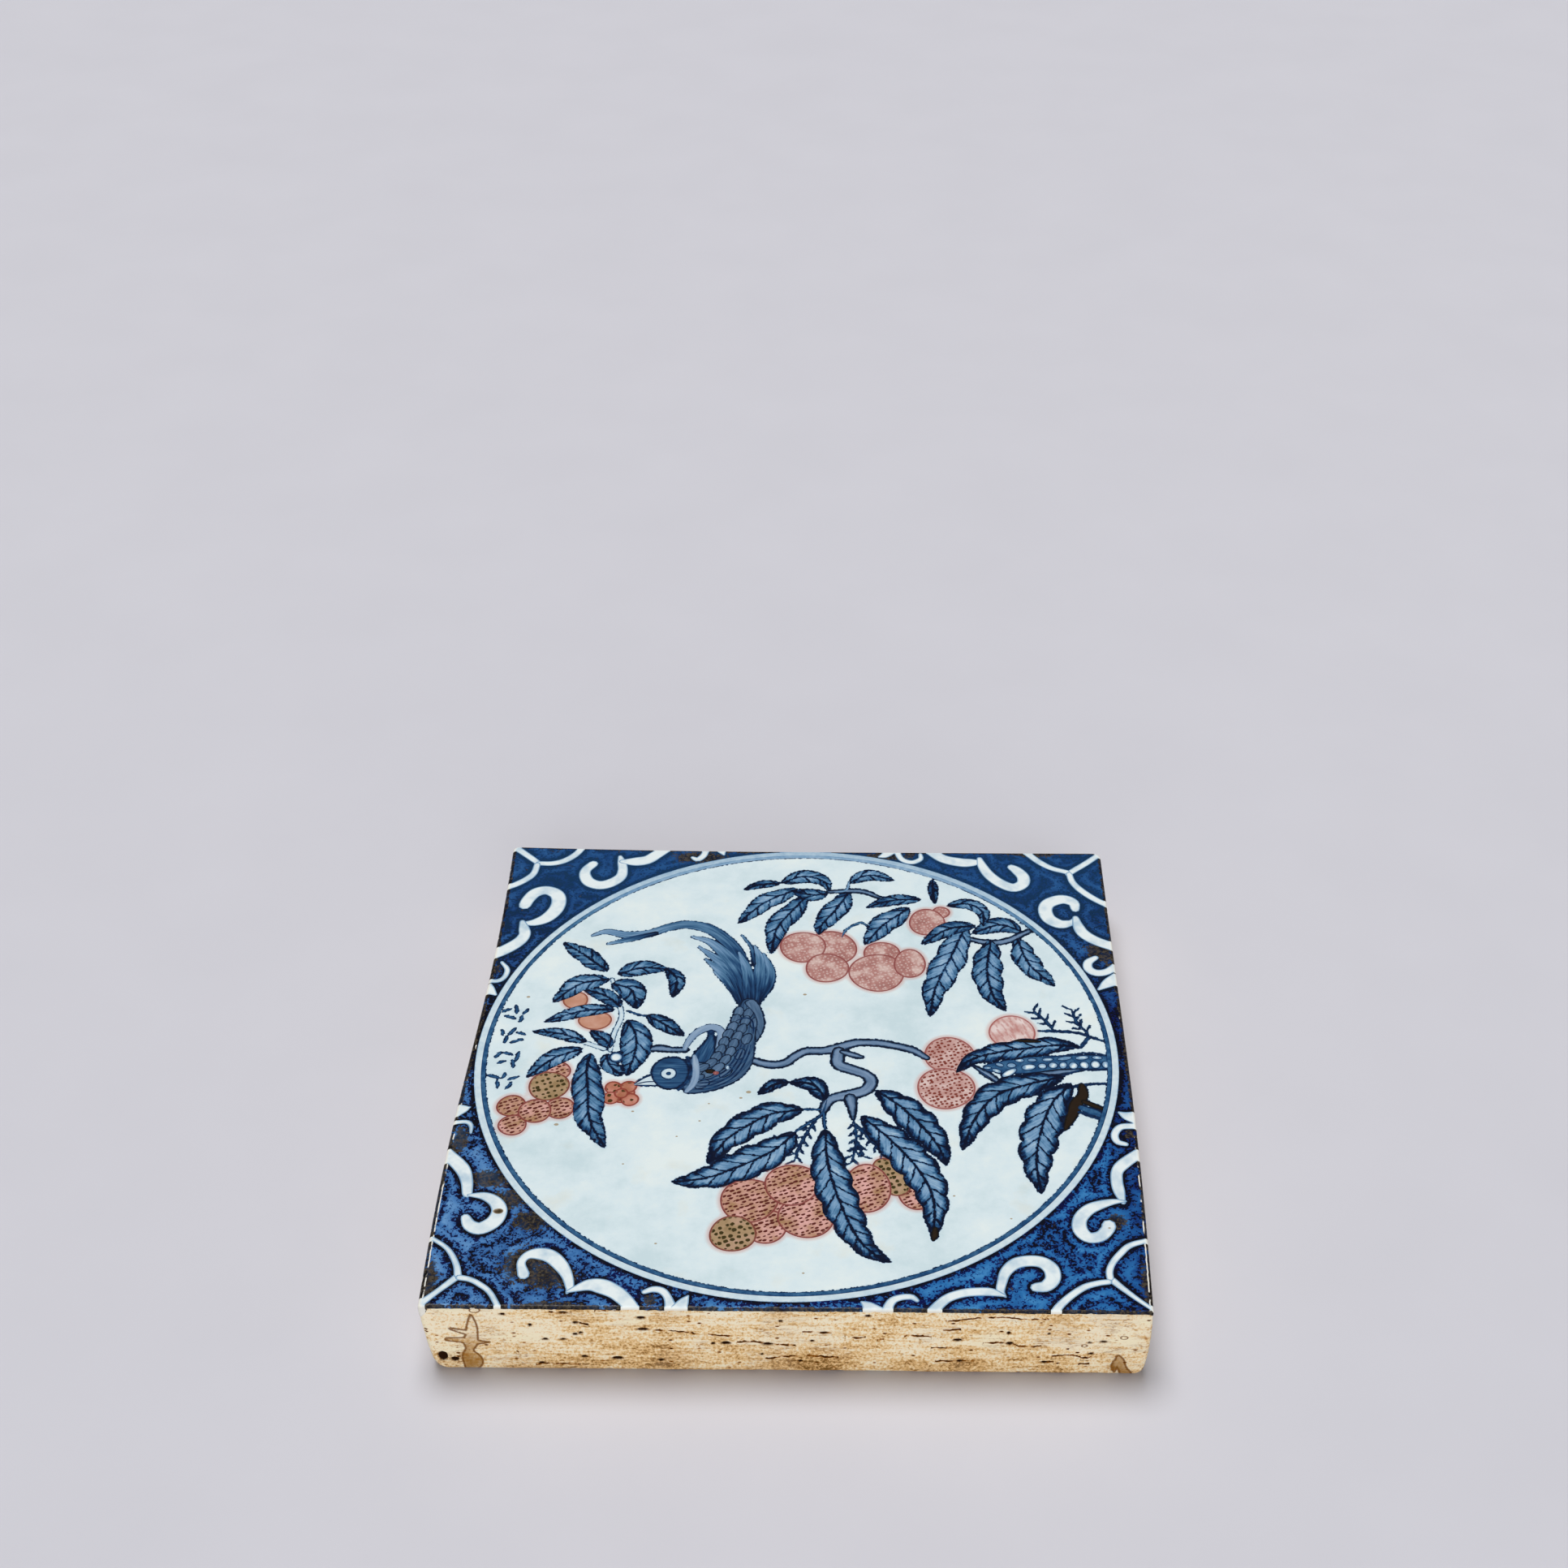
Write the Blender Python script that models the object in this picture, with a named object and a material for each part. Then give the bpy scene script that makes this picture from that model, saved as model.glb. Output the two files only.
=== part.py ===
"""A thick square porcelain tile that lies flat with its painted face up.

One fired piece: the painted glaze is fused to the clay, so the tile is one solid.
Metres, +Z up, origin at the centre of the underside. The front side faces -Y.
"""
import math

import bmesh
import bpy
from mathutils import Vector

# Driving sizes
SIDE_LENGTH = 0.200          # corner to corner along each side of the painted face
THICKNESS = 0.026            # underside to painted face

# The four sides in order, each with its own hand-cut faults, all outwards from a true square.
# bow: how far the middle stands out. wave: an S along the side. undercut: how far the foot
# sits in. belly: how far the middle of the height stands out.
SIDE_ORDER = ("front", "right", "back", "left")
BOW = {"front": 0.0, "right": 0.0011, "back": -0.0009, "left": -0.0001}
WAVE = {"front": 0.0, "right": 0.0003, "back": 0.0002, "left": -0.0010}
UNDERCUT = {"front": 0.0, "right": 0.0003, "back": 0.0006, "left": 0.0013}
BELLY = {"front": 0.0, "right": 0.0005, "back": 0.0002, "left": 0.0002}

# Rounded edges, side by side: the glazed arris above and the worn arris below
TOP_ARRIS = {"front": 0.0006, "right": 0.0008, "back": 0.0008, "left": 0.0012}
FOOT_ARRIS = {"front": 0.0012, "right": 0.0028, "back": 0.0020, "left": 0.0040}

# Radii of the upright corners, and how much rounder each one is at the foot.
# Corner n stands before side n: front left, front right, back right, back left.
CORNER_RADIUS = (0.0008, 0.0007, 0.0022, 0.0010)
CORNER_FOOT_WEAR = (0.0030, 0.0018, 0.0014, 0.0016)

# How finely the solid is faceted
SIDE_STEPS = 24
CORNER_STEPS = 5
ARRIS_STEPS = 4
HEIGHT_STEPS = 4

CLAY_COLOUR = (0.62, 0.49, 0.33, 1.0)
CLAY_ROUGHNESS = 0.85
GLAZE_COLOUR = (0.72, 0.82, 0.84, 1.0)
GLAZE_ROUGHNESS = 0.12

OUTWARD = {"front": Vector((0, -1)), "right": Vector((1, 0)),
           "back": Vector((0, 1)), "left": Vector((-1, 0))}
ONWARD = {"front": Vector((1, 0)), "right": Vector((0, 1)),
          "back": Vector((-1, 0)), "left": Vector((0, -1))}


def clear_scene():
    """Empties the scene of its objects."""
    for old in list(bpy.data.objects):
        bpy.data.objects.remove(old)


def stand_out(side, share):
    """How far a side stands out of its straight line, at a share of its length."""
    return BOW[side] * math.sin(math.pi * share) + WAVE[side] * math.sin(2 * math.pi * share)


def corner_point(before, after, inset):
    """Where two neighbouring sides would cross, each set in by its own inset."""
    half = SIDE_LENGTH / 2
    return OUTWARD[before] * (half - inset[before]) + OUTWARD[after] * (half - inset[after])


def ring_points(inset, height, corner_radii):
    """One closed loop round the tile: straight-ish sides joined by rounded corners."""
    points = []
    for n, side in enumerate(SIDE_ORDER):
        before = SIDE_ORDER[n - 1]
        after = SIDE_ORDER[(n + 1) % 4]
        radius, next_radius = corner_radii[n], corner_radii[(n + 1) % 4]
        start = corner_point(before, side, inset)
        end = corner_point(side, after, inset)
        centre = start + ONWARD[side] * radius - OUTWARD[side] * radius
        for step in range(1, CORNER_STEPS):
            share = step / CORNER_STEPS
            turn = share * math.pi / 2
            spoke = OUTWARD[before] * math.cos(turn) + OUTWARD[side] * math.sin(turn)
            level = height[before] + (height[side] - height[before]) * share
            points.append((centre + spoke * radius).to_3d() + Vector((0, 0, level)))
        first = start + ONWARD[side] * radius
        last = end - ONWARD[side] * next_radius
        for step in range(SIDE_STEPS + 1):
            share = step / SIDE_STEPS
            spot = first.lerp(last, share) + OUTWARD[side] * stand_out(side, share)
            points.append(spot.to_3d() + Vector((0, 0, height[side])))
    return points


def side_inset(side, drop_share):
    """How far the side sits in at a share of the way from its top to its foot."""
    return UNDERCUT[side] * drop_share - BELLY[side] * math.sin(math.pi * drop_share)


def profile_rings():
    """The rings from the painted face down to the underside."""
    rings = []
    for step in range(ARRIS_STEPS + 1):
        turn = step / ARRIS_STEPS * math.pi / 2
        inset = {s: TOP_ARRIS[s] * (1 - math.sin(turn)) for s in SIDE_ORDER}
        height = {s: THICKNESS - TOP_ARRIS[s] * (1 - math.cos(turn)) for s in SIDE_ORDER}
        rings.append(ring_points(inset, height, CORNER_RADIUS))
    for step in range(1, HEIGHT_STEPS):
        share = step / HEIGHT_STEPS
        inset = {s: side_inset(s, share) for s in SIDE_ORDER}
        height = {}
        for side in SIDE_ORDER:
            upper = THICKNESS - TOP_ARRIS[side]
            height[side] = upper + (FOOT_ARRIS[side] - upper) * share
        radii = [r + wear * share * share for r, wear in zip(CORNER_RADIUS, CORNER_FOOT_WEAR)]
        rings.append(ring_points(inset, height, radii))
    foot_radii = [r + wear for r, wear in zip(CORNER_RADIUS, CORNER_FOOT_WEAR)]
    for step in range(ARRIS_STEPS + 1):
        turn = step / ARRIS_STEPS * math.pi / 2
        inset = {s: UNDERCUT[s] + FOOT_ARRIS[s] * (1 - math.cos(turn)) for s in SIDE_ORDER}
        height = {s: FOOT_ARRIS[s] * (1 - math.sin(turn)) for s in SIDE_ORDER}
        rings.append(ring_points(inset, height, foot_radii))
    return rings


def centred(rings):
    """Moves the rings sideways so that the origin is the middle of the whole outline."""
    xs = [p.x for ring in rings for p in ring]
    ys = [p.y for ring in rings for p in ring]
    middle = Vector(((min(xs) + max(xs)) / 2, (min(ys) + max(ys)) / 2, 0))
    return [[p - middle for p in ring] for ring in rings]


def loop_edges(bm, points):
    """The points as a closed loop of edges."""
    verts = [bm.verts.new(p) for p in points]
    return [bm.edges.new((verts[i - 1], verts[i])) for i in range(len(verts))]


def finish(name, colour, roughness):
    """A plain material."""
    material = bpy.data.materials.new(name)
    material.use_nodes = True
    shader = material.node_tree.nodes["Principled BSDF"]
    shader.inputs["Base Color"].default_value = colour
    shader.inputs["Roughness"].default_value = roughness
    shader.inputs["Metallic"].default_value = 0.0
    return material


def make_tile():
    """Lofts the rings into one closed solid; the top and its rounded edge carry the glaze."""
    bm = bmesh.new()
    loops = [loop_edges(bm, ring) for ring in centred(profile_rings())]
    glazed = list(bmesh.ops.contextual_create(bm, geom=loops[0])["faces"])
    for place, (upper, lower) in enumerate(zip(loops, loops[1:])):
        band = bmesh.ops.bridge_loops(bm, edges=upper + lower)["faces"]
        if place < ARRIS_STEPS:
            glazed += band
    bmesh.ops.contextual_create(bm, geom=loops[-1])
    bmesh.ops.recalc_face_normals(bm, faces=bm.faces)
    for face in glazed:
        face.material_index = 1
    mesh = bpy.data.meshes.new("tile")
    bm.to_mesh(mesh)
    bm.free()
    mesh.materials.append(finish("biscuit_clay", CLAY_COLOUR, CLAY_ROUGHNESS))
    mesh.materials.append(finish("painted_glaze", GLAZE_COLOUR, GLAZE_ROUGHNESS))
    mesh.shade_smooth()
    mesh.set_sharp_from_angle(angle=math.radians(30))
    tile = bpy.data.objects.new("tile", mesh)
    bpy.context.scene.collection.objects.link(tile)
    return tile


clear_scene()
make_tile()
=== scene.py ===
# %% [markdown]
# # A hand-painted porcelain tile
# The real tile is a thick square slab of coarse buff clay. Its maker cut it by hand, painted the
# top in cobalt blue and copper red, laid clear glaze over the painting and fired it once.
# Here it is two pieces: the clay body, and the thin coat of painted glaze that is fused to it.
# Lengths are in millimetres and turn to metres only when a mesh is made, because that is how a
# tile maker thinks. The painting is drawn flat, with X to the right and Y away from the viewer.

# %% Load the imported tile
import math
import random

import bpy
import numpy as np
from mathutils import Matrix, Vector, noise
from mathutils.bvhtree import BVHTree
from mathutils.geometry import delaunay_2d_cdt


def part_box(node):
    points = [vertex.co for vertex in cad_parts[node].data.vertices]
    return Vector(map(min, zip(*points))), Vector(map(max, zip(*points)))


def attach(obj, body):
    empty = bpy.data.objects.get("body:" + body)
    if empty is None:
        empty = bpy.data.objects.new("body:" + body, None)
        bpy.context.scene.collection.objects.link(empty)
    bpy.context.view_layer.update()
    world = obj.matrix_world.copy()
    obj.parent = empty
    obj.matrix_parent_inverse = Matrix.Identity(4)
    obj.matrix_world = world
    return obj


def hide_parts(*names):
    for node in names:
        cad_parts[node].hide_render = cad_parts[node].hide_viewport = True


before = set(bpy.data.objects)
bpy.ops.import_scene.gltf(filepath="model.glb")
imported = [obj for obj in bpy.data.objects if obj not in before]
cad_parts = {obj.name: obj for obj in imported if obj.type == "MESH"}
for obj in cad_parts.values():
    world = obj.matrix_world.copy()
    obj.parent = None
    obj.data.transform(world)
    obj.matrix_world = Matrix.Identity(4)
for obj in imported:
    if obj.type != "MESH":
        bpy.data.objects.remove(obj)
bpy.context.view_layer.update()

MM = 0.001
tile_low, tile_high = (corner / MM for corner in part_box("tile"))
print("The tile measures", [round(v, 1) for v in tile_high - tile_low], "mm")

# %% [markdown]
# ## The camera
# The photograph looks down at the tile at about 35 degrees from a little to the right of its
# middle. Tilt, lean and turn say how the camera was held. The small shift says that the picture
# was cut off centre, which is why the left side of the tile looks a little longer.

# %% Camera
CAMERA_AT = Vector((0.0205, -0.5299, 0.5272))
CAMERA_TILT_LEAN_TURN = [math.radians(angle) for angle in (55.30, -0.93, -0.15)]
CAMERA_SHIFT = (-0.0720, -0.0576)
LENS_LENGTH = 54.04

camera = bpy.data.objects.new("camera", bpy.data.cameras.new("camera"))
camera.data.lens = LENS_LENGTH
camera.data.shift_x, camera.data.shift_y = CAMERA_SHIFT
camera.data.clip_start = 0.01
camera.location = CAMERA_AT
camera.rotation_euler = CAMERA_TILT_LEAN_TURN
bpy.context.scene.collection.objects.link(camera)
bpy.context.scene.camera = camera
print("The camera is", round(CAMERA_AT.length, 3), "m from the tile")

# %% [markdown]
# ## Colours and nodes
# Paint colours are easiest to name as the sRGB hex codes that a colour picker shows. Blender's
# shaders work in linear light, so one function turns the code into linear values. A second
# function adds a node with its settings, its colour stops and its inputs in one go, so that each
# finish below reads as a list of what happens to the surface.

# %% Colours and nodes


def paint(code):
    """An sRGB hex colour as linear red, green, blue and alpha."""
    parts = [int(code[i:i + 2], 16) / 255 for i in (1, 3, 5)]
    linear = [p / 12.92 if p <= 0.04045 else ((p + 0.055) / 1.055) ** 2.4 for p in parts]
    return (*linear, 1.0)


def put(tree, kind, inputs=(), ramp=None, **settings):
    """Adds a node. Its inputs are named, or listed in the node's own order.

    An input is a value, a socket, or a node whose first live output is used.
    """
    node = tree.nodes.new("ShaderNode" + kind)
    for name, value in settings.items():
        setattr(node, name, value)
    if ramp:
        stops = node.color_ramp.elements
        while len(stops) < len(ramp):
            stops.new(1.0)
        for stop, (position, code) in zip(stops, ramp):
            stop.position = position
            stop.color = paint(code)
    live = [socket for socket in node.inputs if socket.enabled]
    for slot, value in inputs.items() if isinstance(inputs, dict) else enumerate(inputs):
        socket = live[slot] if isinstance(slot, int) else next(s for s in live if s.name == slot)
        if isinstance(value, bpy.types.Node):
            value = next(s for s in value.outputs if s.enabled)
        if isinstance(value, bpy.types.NodeSocket):
            tree.links.new(value, socket)
        else:
            socket.default_value = value
    return node


def new_material(name):
    """An empty node material, its tree, and a place on the surface in millimetres."""
    material = bpy.data.materials.new(name)
    material.use_nodes = True
    tree = material.node_tree
    tree.nodes.clear()
    metres = put(tree, "TexCoord").outputs["Object"]
    place = put(tree, "VectorMath", {"Vector": metres, "Scale": 1 / MM}, operation="SCALE")
    return material, tree, place


print("White glaze in linear light:", [round(v, 3) for v in paint("#DEEAEB")])

# %% [markdown]
# ## The studio
# A pale floor, a soft window high above and a little behind the tile that draws its shadow to
# the front, and a wide, low, soft fill from the side of the camera that lights the clay edge.
# Both are sun lamps with a wide angle, because they light a big floor evenly. The room itself is
# dim, so the glaze mirrors little of it and the cobalt stays deep.
# The Standard view shows the paints as their colour codes give them.

# %% Floor and lights
FLOOR_COLOUR = "#CFCED5"
FLOOR_SIZE = 8.0
ROOM_LIGHT = 0.11
WINDOW_FROM = Vector((-0.1, 0.25, 0.963))
WINDOW_ANGLE = math.radians(32)
WINDOW_STRENGTH = 2.46
FILL_FROM = Vector((0.1, -0.95, 0.296))
FILL_ANGLE = math.radians(50)
FILL_STRENGTH = 1.62

half_floor = FLOOR_SIZE / 2
floor_mesh = bpy.data.meshes.new("studio_floor")
floor_corners = [(x, y, 0) for x, y in ((-1, -1), (1, -1), (1, 1), (-1, 1))]
floor_mesh.from_pydata([Vector(c) * half_floor for c in floor_corners], [], [(0, 1, 2, 3)])
floor = bpy.data.objects.new("studio_floor", floor_mesh)
bpy.context.scene.collection.objects.link(floor)
material, tree, place = new_material("matt_paper_sweep")
grain = put(tree, "TexNoise", {"Vector": place, "Scale": 0.02, "Detail": 3.0})
shade = put(tree, "ValToRGB", {"Fac": grain}, ramp=[(0.3, "#CDCCD3"), (0.7, FLOOR_COLOUR)])
surface = put(tree, "BsdfPrincipled", {"Base Color": shade, "Roughness": 0.9,
                                       "Specular IOR Level": 0.1})
put(tree, "OutputMaterial", {"Surface": surface})
floor_mesh.materials.append(material)

world = bpy.data.worlds.new("studio_room")
bpy.context.scene.world = world
world.use_nodes = True
background = world.node_tree.nodes["Background"]
background.inputs["Color"].default_value = paint("#F2F3F8")
background.inputs["Strength"].default_value = ROOM_LIGHT

for name, source, angle, strength in (("soft_window", WINDOW_FROM, WINDOW_ANGLE, WINDOW_STRENGTH),
                                      ("front_fill", FILL_FROM, FILL_ANGLE, FILL_STRENGTH)):
    lamp = bpy.data.objects.new(name, bpy.data.lights.new(name, "SUN"))
    lamp.data.angle = angle
    lamp.data.energy = strength
    lamp.rotation_euler = (-source).to_track_quat("-Z", "Y").to_euler()
    bpy.context.scene.collection.objects.link(lamp)
bpy.context.scene.view_settings.view_transform = "Standard"
print("Two soft lights over a floor of", FLOOR_SIZE, "m")

# %% [markdown]
# ## Lines, strokes and outlines
# Every shape in the painting is drawn as a painter would draw it: a few given points, a smooth
# line through them, and the width of the brush along that line. A closed outline comes from
# each stroke, and the outline is what the mesh is cut along.

# %% A smooth line through a few points
LINE_STEP = 0.8


def smooth_line(points, step=LINE_STEP, closed=False):
    """A curve through the points, cut to even steps. Widths given with them are carried along."""
    p = np.array(points, float)
    before = p[-1:] if closed else 2 * p[:1] - p[1:2]
    after = p[:2] if closed else 2 * p[-1:] - p[-2:-1]
    knots = np.vstack([before, p, after])
    share = np.linspace(0, 1, 12, endpoint=False)[:, None]
    spans = []
    for a, b, c, d in zip(knots, knots[1:], knots[2:], knots[3:]):
        bend = (2 * a - 5 * b + 4 * c - d) * share ** 2 + (3 * b - a - 3 * c + d) * share ** 3
        spans.append(b + ((c - a) * share + bend) / 2)
    line = np.vstack(spans + [p[:1] if closed else p[-1:]])
    steps = np.linalg.norm(np.diff(line[:, :2], axis=0), axis=1)
    reach = np.append(0, np.cumsum(steps))
    stops = np.linspace(0, reach[-1], max(3, round(reach[-1] / step) + 1))
    return np.stack([np.interp(stops, reach, column) for column in line.T], axis=1)


def left_of(line):
    """Unit vectors to the left of each point of a line."""
    ahead = np.gradient(line[:, :2], axis=0)
    ahead /= np.linalg.norm(ahead, axis=1)[:, None] + 1e-9
    return np.stack([-ahead[:, 1], ahead[:, 0]], axis=1)


print("A smooth line of", len(smooth_line([(0, 0), (10, 4), (20, 0)])), "points")

# %% The outline of a brush stroke
ROUND_END = [math.radians(angle) for angle in (45, 0, -45)]
BLUNT = 0.35


def round_end(tip, forward, left, half_width):
    """The points of a half round at the end of a stroke, from its left side to its right."""
    if half_width < BLUNT:
        return np.array([tip + forward * half_width])
    turns = [forward * math.cos(a) + left * math.sin(a) for a in ROUND_END]
    return np.array([tip + turn * half_width for turn in turns])


def stroke_outline(line, left_width, right_width):
    """The closed outline of a stroke with its own width on each side and round ends."""
    left = left_of(line)
    spine = line[:, :2]
    ahead = np.stack([left[:, 1], -left[:, 0]], axis=1)
    far = round_end(spine[-1], ahead[-1], left[-1], (left_width[-1] + right_width[-1]) / 2)
    near = round_end(spine[0], -ahead[0], -left[0], (left_width[0] + right_width[0]) / 2)
    left_side = spine + left * left_width[:, None]
    right_side = spine - left * right_width[:, None]
    return np.vstack([left_side, far, right_side[::-1], near])


print("Strokes narrower than", 2 * BLUNT, "mm end in a point")

# %% [markdown]
# ## A list of painted shapes
# Each shape keeps the name of its paint, its outline, the line down its middle, its half width
# and a number that makes it a little different from its neighbours. Shapes that are added later
# lie over those that were added before, just as the painter's strokes do.

# %% The painter's list
GOLDEN = 0.618034
THINNEST = 0.2
PATCH_HALF = 5.0
DISC_EDGE = 0.6
shapes = []


def add_shape(pigment, outline, spine, half_width, split=False):
    """Puts a shape on top of those already painted. A split shape is also cut down its spine."""
    tone = (len(shapes) * GOLDEN) % 1.0
    shapes.append({"pigment": pigment, "outline": np.array(outline, float), "split": split,
                   "spine": np.array(spine, float), "half": half_width, "tone": tone})


def brush(pigment, *points):
    """A stroke through points that give X, Y and the full width of the brush there."""
    line = smooth_line(points)
    half = np.maximum(line[:, 2], THINNEST) / 2
    add_shape(pigment, stroke_outline(line, half, half), line[:, :2], half.max(), split=True)


def even_brush(pigment, width, *points):
    """A stroke of one width that thins out at both ends."""
    line = smooth_line(points)
    share = np.linspace(0, 1, len(line))
    half = width / 2 * np.clip(np.sin(np.pi * share) * 2.2, 0.45, 1)
    add_shape(pigment, stroke_outline(line, half, half), line, width / 2, split=True)


def patch(pigment, spine, *points):
    """A filled shape with a smooth closed outline."""
    outline = smooth_line(points, closed=True)[:-1]
    add_shape(pigment, outline, smooth_line(spine), PATCH_HALF)


def disc(pigment, radius, centre):
    """A round shape. The line down its middle is its own edge, a little inside."""
    count = round(2 * math.pi * radius / LINE_STEP)
    turns = np.linspace(0, 2 * math.pi, count, endpoint=False)
    ring = np.stack([np.cos(turns), np.sin(turns)], axis=1)
    inner_edge = centre + ring * (radius - DISC_EDGE)
    add_shape(pigment, centre + ring * radius, inner_edge, DISC_EDGE)


print("The thinnest brush line is", THINNEST, "mm wide")


# %% [markdown]
# ## Leaves and fruit
# A leaf is a stroke whose width swells quickly from the stalk and closes again in a blunt tip.
# Its scalloped margin is a row of half sine waves, and the two margins are out of step. A fruit
# is an oval that shakes a little, as a freehand round does.

# %% Leaf and fruit
LEAF = "cobalt_leaf_wash"
RED = "copper_red_fruit"
LOBE_DEPTH = 0.2
SHAKE = 0.02


def leaf(half_width, lobes, *midrib):
    """A leaf from its stalk to its tip, with a number of lobes on each side."""
    line = smooth_line(midrib)
    share = np.linspace(0, 1, len(line))
    swell = half_width * np.sin(np.pi * share ** 0.82) ** (0.78 - 0.08 * share)
    widths = []
    for step in (0.0, 0.5):
        scallop = np.abs(np.sin(np.pi * (lobes * share + step))) ** 0.8
        widths.append(swell * (1 - LOBE_DEPTH * (1 - scallop) * (lobes > 0)))
    add_shape(LEAF, stroke_outline(line, *widths), line, half_width, split=True)


def fruit(x, y, across, tall=None, pigment=RED, tilt=0.0):
    """An oval fruit given by its middle and its half sizes."""
    tall = tall or across
    count = max(14, round(math.pi * (across + tall) / LINE_STEP))
    turns = np.linspace(0, 2 * math.pi, count, endpoint=False)
    shake = 1 + SHAKE * np.sin(3 * turns + x)
    c, s = math.cos(math.radians(tilt)), math.sin(math.radians(tilt))
    u = np.cos(turns) * across * shake
    v = np.sin(turns) * tall * shake
    outline = np.stack([x + u * c - v * s, y + u * s + v * c], axis=1)
    axis = [(x - across * c, y - across * s), (x + across * c, y + across * s)]
    add_shape(pigment, outline, axis, min(across, tall))


print("Leaves have lobes", LOBE_DEPTH, "of their width deep")

# %% [markdown]
# ## The round panel
# The four corners are filled with heavy cobalt. Inside them come a pale band, a blue line drawn
# on a turntable, and the white panel that holds the picture. The panel starts from the full
# square of cobalt and lays each smaller disc over the last.

# %% Bands round the panel
WHITE = "clear_white_glaze"
BAND = "pale_cobalt_band"
LINE = "cobalt_brush_line"
PANEL_CENTRE = np.array((0.0, 0.6))
PALE_BAND_RADIUS = 98.1
LINE_OUTER_RADIUS = 96.1
LINE_INNER_RADIUS = 94.75

disc(BAND, PALE_BAND_RADIUS, PANEL_CENTRE)
disc(LINE, LINE_OUTER_RADIUS, PANEL_CENTRE)
disc(WHITE, LINE_INNER_RADIUS, PANEL_CENTRE)
print("The white panel is", 2 * LINE_INNER_RADIUS, "mm across")

# %% [markdown]
# ## White scrolls in the corners
# The scrolls are reserved: the painter left them bare and laid the dark cobalt round them. They
# are a common border of hooks and stems, drawn here corner by corner as single strokes.

# %% Scrolls in the front left corner
SCROLL = "reserved_white_scroll"
FRONT_LEFT_SCROLLS = [
    [(-101, -43, 4), (-95.5, -49, 4.4), (-93.3, -54, 3.6), (-92.4, -59, 3)],
    [(-92, -59.5, 1), (-87.5, -59.8, 3), (-84, -62, 4), (-82.4, -65.5, 4.6), (-83.5, -69.5, 4.8),
     (-87, -72, 4.6), (-90, -70.8, 4), (-91.6, -68, 2.8)],
    [(-72.6, -88.6, 3.4), (-73.8, -84.5, 2.5), (-72.5, -81.8, 2.8), (-69.5, -81, 4.2),
     (-66, -82, 4.6), (-62.8, -85.2, 4.2), (-60.6, -89, 3.2), (-59.5, -93, 2.4), (-60, -95, 0.8)],
    [(-60, -94.5, 1), (-57.5, -93.3, 2.4), (-54, -92, 4.2), (-50.5, -92.6, 5.2),
     (-47, -94.4, 4.8), (-44, -97.2, 4.4), (-41, -101, 3.6)],
    [(-101, -101, 2.8), (-96, -95.5, 1.9), (-92, -91, 2.2), (-90.5, -89.3, 2.4)],
    [(-90.6, -89, 2.2), (-91.5, -85.5, 1.9), (-93.5, -81.5, 1.7), (-96, -78.5, 1.5),
     (-101, -75, 1.4)],
    [(-90.2, -89.8, 2), (-87, -90.5, 1.8), (-84, -92.3, 1.8), (-81, -95, 1.7), (-77.5, -101, 1.7)],
    [(-101, -26, 6), (-98, -25, 3), (-96.8, -24.5, 0.8)],
    [(-101, -31, 1.5), (-97, -30.5, 1.6), (-95.3, -32, 1.5), (-94.9, -35, 0.8)],
    [(-39, -94.3, 1.6), (-36.5, -93.3, 2.2), (-34, -94, 2.4), (-32.3, -96.5, 2.4), (-31, -101, 4)],
    [(-29.5, -101, 5), (-28, -97.5, 3), (-27, -95.6, 0.8)],
]
for points in FRONT_LEFT_SCROLLS:
    brush(SCROLL, *points)
print(len(FRONT_LEFT_SCROLLS), "scrolls in the front left corner")

# %% Scrolls in the front right corner
FRONT_RIGHT_SCROLLS = [
    [(101, -40.5, 3.6), (96, -45, 4), (94, -48, 3.6), (93.6, -52, 3.6), (94, -56, 3.4),
     (94.8, -60, 1.5)],
    [(95.5, -59.5, 0.8), (92, -59.7, 2.2), (88, -61, 3.4), (84.5, -63, 4), (82, -66.5, 4.2),
     (81.8, -70.5, 4.4), (84, -73.3, 4), (87.3, -72.8, 4), (89.5, -70.3, 4), (90, -68.7, 4.2)],
    [(68.2, -91.5, 3.2), (71, -91, 4), (73, -88.5, 4.4), (72.8, -85, 4.6), (70.5, -82.6, 4.2),
     (67, -82, 4), (63, -83, 4), (60.2, -86, 3.4), (58.9, -90, 2.8), (58.5, -93, 2.4),
     (59.8, -95, 0.6)],
    [(59.5, -94.5, 1), (56, -93.3, 2.8), (52, -93.2, 3), (48, -93.8, 3), (44, -95.5, 3),
     (41, -98.5, 3.2), (39, -101, 3)],
    [(101, -100, 1.2), (96, -95.5, 1.5), (92, -91.5, 1.9), (89.5, -88.8, 2.3)],
    [(88.9, -88, 2.1), (88.9, -85.5, 2.1), (90, -82.5, 2), (92.5, -79, 2.1), (95.5, -76, 2),
     (101, -74, 1.7)],
    [(88.5, -89.3, 1.9), (85.5, -89.8, 2), (81.5, -91.3, 2.2), (77.5, -94.5, 2.3),
     (74.3, -98, 2.5), (72.5, -101, 2.7)],
    [(101, -26, 5), (98.5, -25.3, 3.4), (96.5, -24, 1)],
    [(101, -29.5, 2.4), (96.5, -30, 2.4), (94.5, -33, 2.4), (95, -36, 2.2), (97.5, -37, 1.6)],
    [(24, -101, 6), (22, -98.5, 3.4), (20.5, -97.3, 1)],
    [(27, -101, 3.2), (28.5, -97, 2.6), (31, -95.5, 2.2), (34, -95.3, 2), (35.5, -96.5, 1.4)],
]
for points in FRONT_RIGHT_SCROLLS:
    brush(SCROLL, *points)
print(len(FRONT_RIGHT_SCROLLS), "scrolls in the front right corner")

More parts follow.
